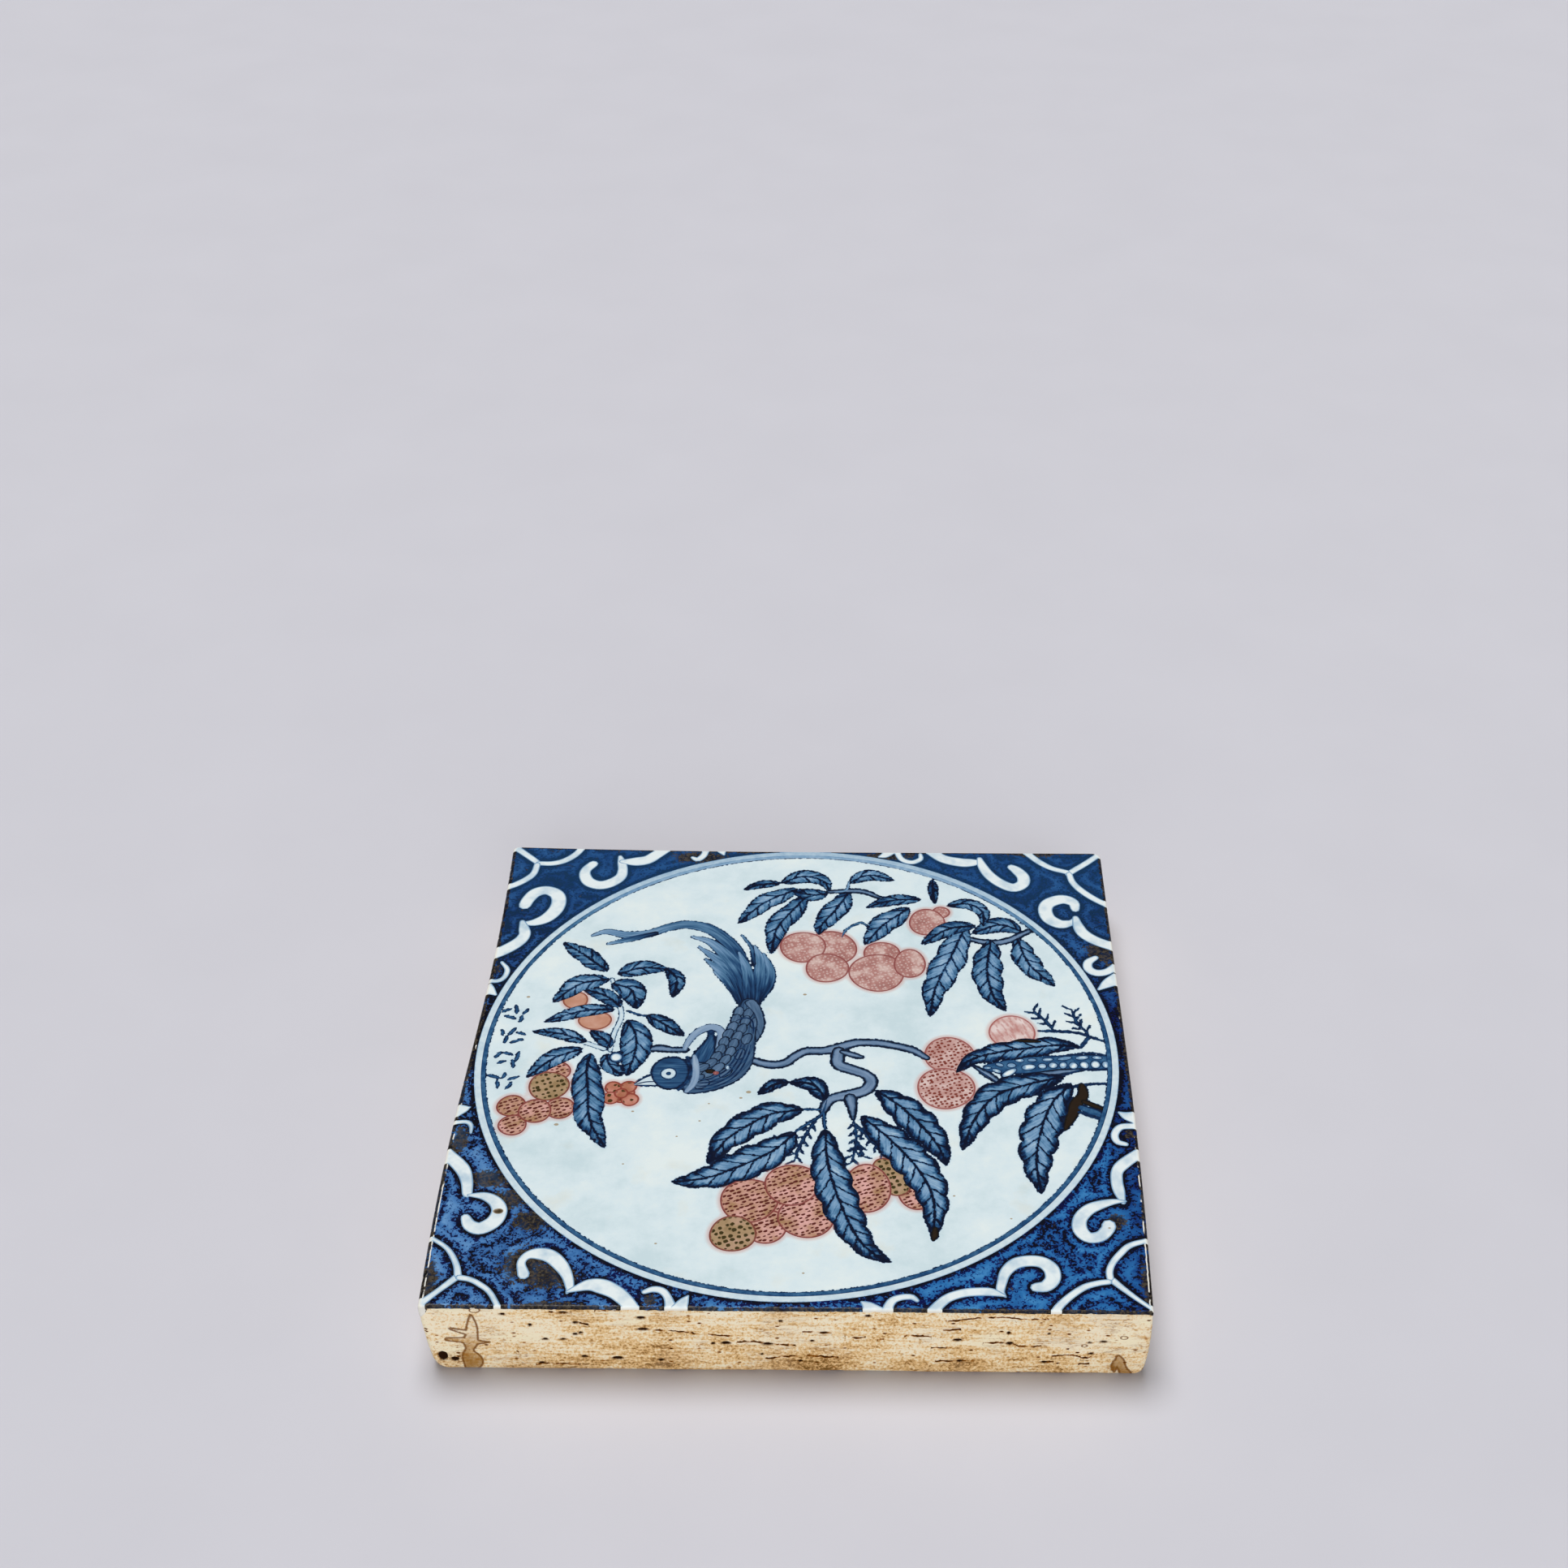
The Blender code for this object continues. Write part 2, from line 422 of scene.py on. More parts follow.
# %% Scrolls in the back right corner
BACK_RIGHT_SCROLLS = [
    [(41, 101, 4), (46, 96, 4.2), (52, 94, 4.6), (56, 94, 4), (58.5, 94.5, 2)],
    [(58.6, 96, 2), (59.5, 92, 3.4), (61.5, 87.5, 4), (65, 83.3, 4.2), (69.3, 80.8, 4.4),
     (72.6, 82.8, 4.4), (73, 86.5, 4.4), (71, 90, 4), (69.3, 91.7, 3)],
    [(89.5, 70, 3), (89, 73.3, 4), (85.5, 75, 4.6), (81, 73, 4.8), (79.5, 69.5, 4.8),
     (80.5, 65, 4.8), (84, 62.3, 4.4), (87.5, 63, 3), (88.7, 64.7, 1.5)],
    [(89.3, 65.5, 2.2), (90, 61, 3.8), (91.5, 57.5, 4.2), (95, 54.2, 4.2), (101, 51, 4)],
    [(101, 100.5, 2.2), (95, 94.5, 2.4), (90, 90, 2.4), (88.3, 88.2, 2.2)],
    [(88, 89.3, 2.2), (83, 91.3, 2.4), (79, 94.5, 2.6), (76, 98, 2.6), (73.5, 101, 2.6)],
    [(88.6, 88.4, 2.2), (89.5, 84, 2.4), (92, 79.8, 2.6), (96, 75.5, 2.6), (101, 71.5, 2.4)],
    [(24.5, 96.5, 1), (26.5, 97.5, 3), (30, 101, 3.4)],
    [(30, 101, 2.2), (32, 95.5, 2.2), (35.5, 93.7, 2.2), (38.5, 95.5, 2), (38.5, 98, 1.4)],
    [(94.5, 45.8, 2), (92, 43.5, 3), (91.8, 40.5, 3.2), (94, 38.5, 3.2), (97.5, 39, 3),
     (101, 42, 3)],
    [(101, 36, 5.4), (97.5, 33.5, 4), (94.5, 30.7, 1.2)],
]
for points in BACK_RIGHT_SCROLLS:
    brush(SCROLL, *points)
print(len(BACK_RIGHT_SCROLLS), "scrolls in the back right corner")

# %% Scrolls in the back left corner
BACK_LEFT_SCROLLS = [
    [(-101, 101, 2.6), (-93, 93.5, 2.4), (-90.5, 91, 2.2)],
    [(-90.4, 91, 2.2), (-86, 91, 2.4), (-82, 92.5, 2.6), (-78.5, 96, 2.6), (-76, 101, 2.4)],
    [(-90.8, 90.4, 2.2), (-91.3, 86, 2.4), (-93, 83, 2.6), (-96.5, 79.8, 2.6), (-101, 77, 2.4)],
    [(-72, 91, 3.4), (-74, 88, 3.6), (-74.2, 85, 4), (-72.5, 81.5, 4.4), (-69, 79.8, 4.4),
     (-65.5, 80.8, 4.4), (-62.3, 84, 4), (-61.8, 88, 3.4), (-62.5, 92, 3), (-63.3, 95, 1.6)],
    [(-62.5, 92.5, 2), (-58, 92.5, 4.4), (-54, 93.5, 4.6), (-51, 96.5, 4.4), (-47, 101, 4)],
    [(-92.3, 69, 4.2), (-91.5, 72, 4.4), (-89.5, 75.5, 4.6), (-86, 76.8, 4.4), (-82.5, 74.8, 4.8),
     (-81.3, 71, 5), (-82, 66.5, 5), (-84.5, 62.5, 4.6), (-88, 60.3, 3.4), (-91.5, 59.8, 1.6)],
    [(-92, 60.5, 2), (-91, 57, 3.6), (-90.5, 54, 4), (-92, 50.5, 4.4), (-96, 46.5, 4.6),
     (-101, 43, 4)],
    [(-96, 40.5, 1.2), (-93.8, 37, 1.8), (-94.5, 33, 1.8), (-97, 31.5, 1.8), (-101, 32.5, 1.8)],
    [(-101, 29, 7), (-98.5, 27.5, 4.5), (-96, 25.3, 1.2)],
    [(-34.3, 101, 2.4), (-35, 96.5, 2.4), (-37, 94, 2.4), (-38.8, 95, 1.4)],
    [(-30, 101, 4.5), (-29, 98.5, 2.8), (-28.3, 96.8, 1)],
]
for points in BACK_LEFT_SCROLLS:
    brush(SCROLL, *points)
print(len(shapes), "shapes so far, most of them scrolls")

first_in_panel = len(shapes)

# %% [markdown]
# ## Fruit
# The fruit hang in five bunches, painted in copper red. Copper is a fickle pigment: where it lay
# thin or the kiln breathed, it turned from red to a greenish olive, so some fruit are olive, and
# two in the left spray came out as a plain orange without their dots.

# %% Fruit
OLIVE = "copper_red_turned_olive"
ORANGE = "copper_red_burned_orange"
PALE_RED = "copper_red_faded"
FRESH_RED = "copper_red_finely_dotted"
THIN_RED = "copper_red_nearly_white"
LEFT_FRUIT = [(-84.5, -23.7, 4.5), (-83.2, -31.6, 4.3), (-70.1, -24.4, 4.5), (-72.4, -8.7, 4)]
FRONT_FRUIT = [(-5, -64, 4), (-7, -70.2, 6.4), (4.5, -66.3, 8.2), (-12, -60.5, 8.4), (0, -54.3, 8)]
BACK_FRUIT = [(9, 49, 8.5), (0, 49.5, 7.5), (8, 39.5, 7), (25.5, 46.5, 6), (24, 37.5, 9)]
RIGHT_FRUIT = [(46.3, 0, 7.8), (45, -14.5, 8.8)]

for x, y, radius in LEFT_FRUIT + FRONT_FRUIT:
    fruit(x, y, radius)
for x, y, radius in RIGHT_FRUIT:
    fruit(x, y, radius, pigment=FRESH_RED)
for x, y, radius in BACK_FRUIT:
    fruit(x, y, radius, pigment=PALE_RED)
fruit(66, 10.5, 7.3, pigment=THIN_RED)
fruit(-77.3, -25.7, 5)
fruit(-74.4, -15.2, 6.2, pigment=OLIVE)
fruit(-63.5, 13.8, 5.3, 4.2, pigment=ORANGE)
fruit(-70.5, 22.9, 4, pigment=ORANGE)
fruit(-16, -73, 6.7, pigment=OLIVE)
fruit(35, -58, 4.4, 6, tilt=30)
fruit(28.5, -51, 5, 8, pigment=OLIVE, tilt=28)
fruit(21.5, -55.5, 7, 9.5)
fruit(34.5, 42, 5.2, 7, pigment=PALE_RED)
fruit(45, 67.5, 3, pigment=PALE_RED)
fruit(40.3, 62.5, 6, 6.7, pigment=PALE_RED)
print(len(shapes) - first_in_panel, "fruit")

# %% A small flower beside the bird's beak
FLOWER = "copper_red_flower"
for x, y, radius in ((-52.3, -18, 4.2), (-55, -15.6, 2.7), (-50.4, -15.2, 2.6),
                     (-55.2, -20, 2.7), (-49.6, -20.6, 2.8), (-52.4, -18, 2.2)):
    fruit(x, y, radius, pigment=FLOWER)
print(len(shapes) - first_in_panel, "shapes with the flower")

# %% [markdown]
# ## Branches
# The branches were drawn as soft grey-blue strokes with darker edges. Thin stalks are one pass of
# the brush tip, and the finest twigs and hairs were put in last with almost black cobalt.

# %% Branches and stalks
BRANCH = "cobalt_branch_wash"
STALK_WIDTH = 0.7

BRANCHES = [
    [(-13.5, -3.5, 3), (-9, -5, 3.2), (-4, -4.5, 3.2), (-1, -1.5, 3.2), (2.5, 1, 3.2),
     (7, 1.2, 3.2), (12, 2.5, 3.8), (18, 5, 3.2), (24, 5, 3), (29, 4, 3), (35, 2, 2.8),
     (39.5, -1.5, 2.2)],
    [(12.4, 1.2, 4.2), (12.4, -4.5, 4.2), (16.9, -7, 4), (20.6, -8.9, 3.8), (22.5, -12, 4),
     (20.6, -15.8, 4.2), (15.6, -17.7, 4), (10.5, -19.6, 3.4), (8.6, -23.4, 3), (8.2, -26, 1.6)],
    [(16.2, -19, 4), (16.8, -23, 3), (17.2, -27.8, 1.2)],
    [(13.5, 1, 2), (17, -0.5, 2.4), (19.5, -1.3, 1.6)],
    [(-46, 1.1, 1.6), (-42.5, 1.6, 3), (-38.5, 1, 2.4), (-34.5, 1, 2.4)],
    [(52.1, 55.3, 1.4), (56.9, 53.3, 2.4), (62.4, 52.6, 2.7), (67.1, 54, 2.7), (71.9, 57.4, 2.4),
     (76, 60, 1.8)],
    [(7.6, 77.6, 1.6), (15.2, 78.2, 2.3), (19.8, 77.6, 2.3), (25, 74.7, 1.6)],
]
for points in BRANCHES:
    brush(BRANCH, *points)
brush(BAND, (-70.5, 6, 0.8), (-65, 3.6, 1.4), (-59.4, 1.1, 1.4))
brush(BAND, (-60, 33, 1), (-57.5, 24, 1.4), (-55.5, 16, 1.4), (-57, 8, 1.4), (-57.5, 0.5, 1.2))
for stalk in (
        [(9.3, -20), (8, -25.5), (5.5, -28.5), (2, -31.5), (-1, -34.5)],
        [(8.3, -24), (8.8, -30), (9, -33)],
        [(2.3, -24), (8, -24)],
        [(14.5, 83), (13.5, 78.5), (10, 77.5)],
        [(25, 74.7), (29, 73.5), (34, 73)],
        [(-53.7, 18.3), (-50, 16.6), (-47.4, 16)],
        [(12.5, 54.5), (14, 58.5), (18.5, 62), (20.5, 60.5)]):
    even_brush(LINE, STALK_WIDTH, *stalk)
print(len(BRANCHES), "branches")

# %% [markdown]
# ## The thick bough on the right
# The bough comes in from the right edge of the panel: a broad blue stroke with a white one below
# it. Two rows of small white buds with dark outlines run along it, and dark pen lines give the
# bark and its twigs.

# %% The bough and its buds
PEN = "dark_cobalt_pen"
BUD_OUTLINE = 0.35

brush(WHITE, (95, -9, 5), (88, -9.2, 5.4), (81, -11.3, 4), (76.5, -14, 1.6))
brush(LINE, (97, -2.6, 5.6), (88, -2.6, 6), (80, -3.1, 6.4), (72, -4, 6.6), (65, -5, 6),
      (58, -5.6, 3))
brush(BRANCH, (86.5, -6, 1.4), (80, -7, 2.6), (75.4, -8, 2.8), (69.7, -9.6, 2.8),
      (65.3, -11.2, 2.6), (60.8, -12.8, 1.6))
brush(BRANCH, (54.5, -5.5, 1.4), (58, -8.8, 2.6), (62, -12.4, 1.8))
for x, y, across, tall, tilt in (
        (94, -3.6, 1.3, 1.7, 0), (90.9, -3.6, 1.7, 1.9, 0), (87.5, -3.9, 1.6, 1.8, 20),
        (84.1, -4.2, 1.6, 1.7, 0), (81, -4.1, 1.4, 1.7, -15), (77.9, -4.2, 1.6, 1.5, 10),
        (74.6, -4.6, 1.5, 1.4, 0), (70.4, -5.1, 2.4, 1.5, 10), (65.2, -4.4, 1.6, 1.2, 0),
        (64.4, -7.6, 3, 1.4, 38), (60.6, -6.8, 1.7, 1, -25), (61.6, -4.2, 1.5, 0.9, -20),
        (57.8, -5.6, 1.4, 0.8, 0), (67.8, -2.2, 1.6, 1, 0), (71.6, -2, 1.6, 0.9, 0),
        (76.4, -1.7, 1.9, 1, 5), (81.6, -1.1, 2.5, 1, 12), (87, -0.7, 2.3, 1.1, 8),
        (91.6, -0.6, 1.8, 1, -5)):
    fruit(x, y, across, tall, pigment=PEN, tilt=tilt)
    fruit(x, y, across - BUD_OUTLINE, tall - BUD_OUTLINE, pigment=SCROLL, tilt=tilt)
print("The bud outlines are", BUD_OUTLINE, "mm wide")

# %% Pen lines and brown twigs of the bough
IRON_WASH = "iron_brown_wash"

for width, *line in (
        (0.7, (95, -6), (91, -5.9), (86.7, -6), (80.4, -8.5), (75.4, -10.4), (66.5, -13.6)),
        (0.8, (95, -11.7), (88, -12.3), (84.2, -13), (80.4, -14.2), (77.3, -15.5)),
        (0.5, (95, 0.6), (90, 1.4), (85, 0.8), (80, -0.2), (74, -0.8)),
        (0.5, (55, -6.6), (58, -9.4), (61.5, -13)),
        (0.9, (74.1, 11), (80.4, 11), (86.1, 10.4), (89.9, 8.8), (94.3, 6.6)),
        (1, (89.9, 8.5), (88.6, 6.6), (86.7, 3.5))):
    even_brush(PEN, width, *line)
brush(IRON_WASH, (86.1, -13, 2.2), (86.2, -17, 3.4), (83.9, -20.5, 3.8),
      (82.2, -25.6, 3.4), (80, -31, 1.4))
brush(IRON_WASH, (86.2, -19.6, 1.8), (89.5, -21.4, 1.8), (92.4, -23, 1))
brush(LINE, (85.3, -22.2, 2), (88.5, -23.8, 2.4), (92, -25.6, 1.8))
brush(PEN, (84.5, -24, 0.8), (88, -25.5, 1.2), (91.2, -27, 0.8))
print(len(shapes), "shapes with the bough")

# %% [markdown]
# ## Sprigs
# A sprig is a stalk with short hairs on both sides, like a bare blossom cluster. Each hair is one
# flick of the brush, so a loop places them alternately along the stalk.

# %% Sprigs
HAIR_GAP = 1.7
HAIR_LENGTH = 2.9
HAIR_WIDTH = 0.4
HAIR_SLANT = math.radians(48)
PEN_WIDTH = 0.6


def sprig(hair_length, *points):
    """A thin stalk with slanting hairs on both sides."""
    even_brush(PEN, PEN_WIDTH, *points)
    stalk = smooth_line(points, HAIR_GAP)
    ahead = np.gradient(stalk, axis=0)
    for place, (spot, way) in enumerate(zip(stalk[1:], ahead[1:])):
        forward = math.atan2(way[1], way[0])
        slant = forward + HAIR_SLANT * (1 if place % 2 else -1)
        tip = spot + hair_length * np.array((math.cos(slant), math.sin(slant)))
        even_brush(PEN, HAIR_WIDTH, spot, (spot + tip) / 2, tip)


sprig(HAIR_LENGTH, (7.1, -27.2), (4.2, -32.3), (1.7, -39.2), (0.4, -44.9))
sprig(HAIR_LENGTH, (17.2, -27.8), (18.1, -32.9), (18.1, -39.2), (16.9, -45.5))
sprig(HAIR_LENGTH, (17.3, -29), (21.5, -35), (26, -41))
sprig(2.2, (18.2, -36), (19.4, -40), (20.6, -43))
sprig(3.6, (79.2, 11), (77.9, 13.6), (76, 16.4), (74.1, 18.6), (73.2, 20.5))
sprig(3.4, (89.9, 9.2), (88.6, 11.7), (86.7, 14.2), (85.8, 17.4), (85.2, 20.8))
sprig(2.4, (-6, -34.6), (-4.4, -37.5), (-3, -40.5), (-2.5, -43))
print("Sprigs have a hair every", HAIR_GAP, "mm")

# %% [markdown]
# ## Leaves
# Each leaf is given by its half width, the number of lobes on a side, and the points of its
# midrib from the stalk to the tip. The big leaves in front are the boldest part of the picture.

# %% Leaves of the left spray
LEFT_LEAVES = [
    (3.4, 0, (-66, 1), (-74, -3), (-81.5, -11.5)),
    (2.4, 0, (-65, 4), (-73, 7.6), (-82.2, 8.6)),
    (4.9, 0, (-53.5, 14.1), (-50.5, 8), (-49.8, 0), (-51.5, -10.4)),
    (2.6, 0, (-58.5, -1), (-57, -6), (-53, -10.6)),
    (5.1, 3, (-63.3, -0.9), (-63.8, -8), (-62.6, -15.9), (-60.7, -29), (-55.1, -40.4)),
    (2.4, 0, (-57.5, 1.5), (-59.5, 5), (-64.5, 9.5)),
    (2.8, 0, (-58, 19), (-68, 18), (-79, 13)),
    (2.8, 0, (-56, 20), (-61, 25), (-69, 28.5)),
    (4.0, 2, (-61, 33), (-70, 30.5), (-77.5, 22)),
    (4.2, 0, (-60, 31), (-53.5, 28), (-51, 19.5)),
    (3.6, 2, (-61.8, 36.8), (-70.5, 44.9), (-77.5, 50.4)),
    (3.4, 0, (-58.4, 35.4), (-50.8, 38.6), (-42.7, 38)),
    (2.6, 0, (-43.2, 38.6), (-39.5, 33), (-40.2, 24.7)),
    (2.9, 0, (-47.6, 16.5), (-42, 12.5), (-35.5, 7.3)),
]
for row in LEFT_LEAVES:
    leaf(*row)
fruit(-55.4, -2.5, 2.3, pigment=PEN)
fruit(-55.4, -2.5, 1.7, pigment=SCROLL)
print(len(LEFT_LEAVES), "leaves on the left")

# %% Leaves of the front spray
FRONT_LEAVES = [
    (2.2, 2, (-2.3, -12.7), (-6.5, -13.5), (-11.5, -18)),
    (3.2, 2, (9, -20), (5, -13.5), (-2.3, -12.7)),
    (5.6, 4, (2.3, -24.1), (-7, -26), (-14, -31), (-20, -37), (-24.8, -46.2)),
    (6.3, 5, (0.4, -33.5), (-6, -41), (-15, -47), (-25, -52), (-34.5, -53.7)),
    (5.7, 5, (24, -15.9), (31, -22), (38, -31), (42.5, -39), (44.7, -46.2)),
    (6.1, 7, (9, -32), (10, -45), (13, -58), (18, -72), (23, -79.5), (28.5, -83)),
    (6.3, 7, (19.7, -26.6), (29, -37), (37, -49), (40.6, -60), (40.5, -74)),
]
for row in FRONT_LEAVES:
    leaf(*row)
brush(IRON_WASH, (40.9, -70.5, 1.6), (40.7, -73, 2.2), (40.3, -74.6, 1))
print(len(FRONT_LEAVES), "leaves in front")

# %% Leaves of the right spray
RIGHT_LEAVES = [
    (6.4, 6, (83, -12), (77, -20), (73, -31), (70.8, -44), (71.6, -57)),
    (5.7, 6, (81, -9), (70, -12.5), (60, -17.5), (53.5, -27), (49.4, -40)),
    (4.5, 5, (86.4, 4.1), (80, 4.8), (72, 3.5), (62, 1.5), (53, -2), (48.2, -7.9)),
    (5.4, 4, (53, 61), (48, 46), (42.5, 30), (40.7, 17)),
    (5.1, 4, (61, 54), (59.3, 40), (60.5, 28), (64.4, 20)),
    (4.3, 3, (69.5, 55), (73, 42), (80.5, 32)),
    (3.3, 0, (56, 61), (47, 59), (38.5, 51.5)),
    (3.6, 0, (71, 58.5), (64, 61.5), (55, 57)),
    (2.6, 0, (47, 71), (54, 72), (58.7, 68), (58.8, 60.5)),
]
for row in RIGHT_LEAVES:
    leaf(*row)
brush(IRON_WASH, (67, 6.6, 0.8), (71, 6.4, 1.5), (74.5, 6.2, 0.8))
print(len(RIGHT_LEAVES), "leaves on the right")

# %% Leaves of the back spray
BACK_LEAVES = [
    (1.9, 0, (-8.6, 81.7), (-15, 81), (-20.7, 78.2)),
    (3.9, 2, (-2.5, 79), (-13, 72), (-21.5, 61)),
    (4.3, 2, (0.5, 75.5), (-5, 66), (-9, 58), (-10, 46)),
    (3.2, 0, (-8, 82), (-1, 85.5), (5.5, 83.5), (8, 78.3)),
    (3.0, 0, (7.5, 76.5), (2, 76), (-4.5, 78)),
    (4.3, 2, (14.5, 77.5), (10, 68), (6, 61), (5, 55.5)),
    (2.8, 0, (14.6, 82.5), (21, 86.5), (29.5, 84)),
    (2.6, 0, (38.3, 74), (29, 73.5), (20.4, 69.7)),
    (4.6, 2, (34.5, 69.5), (26, 61), (20, 51)),
    (1.7, 0, (42.4, 84.6), (42.6, 78), (43, 72)),
]
for row in BACK_LEAVES:
    leaf(*row)
print(len(shapes), "shapes with the leaves")

# %% [markdown]
# ## The bird
# A bird of no special kind sits on the branch and looks back over its fruit. Its body is one wash
# of cobalt. Small overlapping scales cover its breast, long plumes lie along its back, and its
# tail is a fan of long strokes with one streamer that curls to the left.

# %% The bird's tail
TAIL = "cobalt_tail_feather"

TAIL_PLUMES = [
    [(-16.5, 24, 3.5), (-17.5, 35, 4), (-20.5, 45, 4.4), (-25, 52.5, 4.4), (-31, 58, 4.2),
     (-38, 60, 3.8), (-44, 58.5, 3.4), (-50, 55.5, 3.2), (-57, 54.5, 3.2), (-64, 56, 2.2),
     (-68.5, 54, 0.8)],
    [(-48, 55.5, 2), (-56, 52.5, 2.4), (-63, 50, 0.8)],
    [(-18, 22, 3), (-22, 31, 4), (-27.8, 37, 0.8)],
    [(-17.5, 22, 3), (-23, 34, 4.6), (-31, 43, 0.8)],
    [(-17, 22, 3), (-22, 37, 4.8), (-33.5, 49, 0.8)],
    [(-16.5, 22, 3), (-20.5, 38, 5), (-29, 50.5, 3), (-36, 54, 0.8)],
    [(-13.7, 23, 3), (-10.8, 31, 4.2), (-10.4, 38, 3.4), (-12.6, 46, 0.8)],
    [(-14.5, 22, 3), (-13.4, 33, 4.4), (-13.6, 43, 3), (-15.5, 49.5, 0.8)],
    [(-15.4, 41, 1.4), (-16, 45, 1.2), (-16.8, 49.5, 1), (-20, 55, 0.6)],
    [(-16, 22, 3.6), (-16.4, 30, 4.6), (-17.8, 39, 3.2), (-20.5, 46.5, 0.8)],
]
for points in TAIL_PLUMES:
    brush(TAIL, *points)
print(len(TAIL_PLUMES), "tail plumes")

# %% The bird's body and feathers
FEATHER = "cobalt_scale_feather"
COLLAR = "cobalt_collar_wash"
BODY_WASH = "cobalt_body_wash"
DEEP_BLUE = "cobalt_deep_blue"
BODY_SPINE = [(-33, -9), (-24, -8), (-18, -1), (-16, 9), (-16, 22)]
SCALE_ROW_GAP = 3.4
SCALE_GAP = 3.1
SCALE_SIZE = (2.7, 1.7)

patch(BODY_WASH, BODY_SPINE, (-34, -16.5), (-28, -17.3), (-21.5, -14.8), (-16.5, -10.5),
      (-13.6, -4), (-13.2, 4.6), (-11, 13), (-13.6, 23.5), (-18.4, 23.5), (-20.6, 13), (-24.8, 4),
      (-32.5, -2.5))
brush(COLLAR, (-34.8, 1.4, 1.4), (-33.8, 4.8, 2), (-31.9, 8.3, 2.4), (-29.2, 10.6, 2.6),
      (-26.4, 11.2, 2.6), (-24.2, 9.4, 2.4), (-24.2, 5, 2), (-25, 1.5, 1))
patch(DEEP_BLUE, [(-27.2, 9.4), (-30.5, -3)], (-27.2, 10.2), (-28.3, 6.2),
      (-29.7, 3.4), (-31.6, 0.2), (-32.2, -2.6), (-29.8, -4.8), (-26.2, -3.8), (-25.4, 0.2),
      (-25.7, 5.8))
fruit(-27.2, 8.9, 1.1, 1.3, pigment=PEN)
brush(WHITE, (-28.6, 7.4, 1.2), (-30.3, 4.6, 2), (-32.2, 1.2, 2.1), (-33.6, -1.4, 1.6))

breast = [(-17.6, 18), (-18.9, 12), (-21, 6), (-22.5, 0), (-25.5, -6), (-31, -10)]
breast = smooth_line(breast, SCALE_ROW_GAP)
ahead = np.gradient(breast, axis=0)
for place, (spot, way) in enumerate(zip(breast, ahead)):
    angle = math.atan2(-way[1], -way[0])
    left = np.array((-way[1], way[0])) / np.linalg.norm(way)
    for k in range(2 + place % 2):
        middle = spot + left * (k - 0.5) * SCALE_GAP
        fruit(*middle, *SCALE_SIZE, pigment=FEATHER, tilt=math.degrees(angle))
print(len(breast), "rows of scales on the breast")

# %% The bird's back plumes
for inset in (0.9, 2.2, 3.6, 5.0):
    plume = [(-31.5, -16.8 + inset), (-26.5, -16.6 + inset), (-21 - inset / 3, -13.8 + inset),
             (-17 - inset * 0.8, -9 + inset / 2), (-14.6 - inset * 0.9, -2),
             (-14 - inset * 0.7, 3.6)]
    even_brush(PEN, PEN_WIDTH, *plume)
patch(FEATHER, [(-16, 22), (-12, 8)], (-17.6, 22.6), (-15.5, 24.3), (-13.4, 22.8), (-11.7, 18.6),
      (-10.7, 13), (-11.4, 8.6), (-13.3, 4.4), (-13.7, 8.6), (-13.3, 12.6), (-14, 16.6),
      (-15.6, 19.6))
even_brush(PEN, PEN_WIDTH, (-19.8, 14.2), (-17.2, 15.6), (-15, 14.8), (-14.2, 11.6), (-14.2, 8.6))
fruit(-26.4, -8.3, 1.5, 1, pigment=IRON_WASH)
fruit(-24.6, -9, 0.9, 0.8, pigment=PALE_RED)
fruit(-21.2, -6.6, 0.5, 0.8, pigment=BAND)
print(len(shapes), "shapes with the bird's body")

# %% The bird's head
brush(COLLAR, (-31.6, -1.6, 1.2), (-31, -5, 2), (-30.6, -9.5, 2.1), (-31.2, -13.8, 2.1),
      (-33, -17, 1.2))
brush(PEN, (-33.8, -2.2, 0.8), (-32.6, -6.3, 1.3), (-32.5, -10, 1.4), (-33.3, -13, 1.3),
      (-35.3, -16.2, 0.8))
patch(BAND, [(-48, -14), (-43, -12.5)], (-48.9, -14.2), (-46, -11.3), (-43.3, -9.6),
      (-41.3, -12), (-42.3, -14.3), (-45.5, -14.6))
even_brush(PEN, PEN_WIDTH, (-48.9, -14), (-46.2, -11.4), (-43, -9.6))
even_brush(PEN, PEN_WIDTH, (-48.7, -14.5), (-45.5, -14.6), (-42.3, -14.6))
fruit(-38.4, -9, 5.8, 7.1, pigment=DEEP_BLUE)
fruit(-38.9, -9.4, 2.6, pigment=PEN)
fruit(-38.9, -9.4, 2.2, pigment=BAND)
fruit(-38.9, -9.4, 0.8, pigment=PEN)
even_brush(PEN, 0.5, (-48.5, -14.1), (-45.5, -13.1), (-42.6, -12.9))
print(len(shapes), "shapes with its head")

# %% [markdown]
# ## Small strokes and specks
# Four rows of short brush strokes fill the free space at the left of the panel. Strokes that ran
# over the edge of the panel are then trimmed to it. The specks come last, because they are iron
# in the clay that burned through the glaze.

# %% Rows of short strokes
ROW_TOPS = (18.5, 8.5, -1.5, -11)
ROW_X = -88.5
ROW_STROKE_WIDTH = 0.9
ROW_STROKE_BEND = (0.15, 0.1)
STROKE_SLANTS = (25, 100, 60, 160, 80)
STROKE_LENGTHS = (3, 3.8, 2.4, 3.4, 2.8)
STROKES_SIDEWAYS = (-3, 0, 3, -1.5, 2)
STROKES_DOWN = (0.5, 0, 1, 3.6, 4.2)

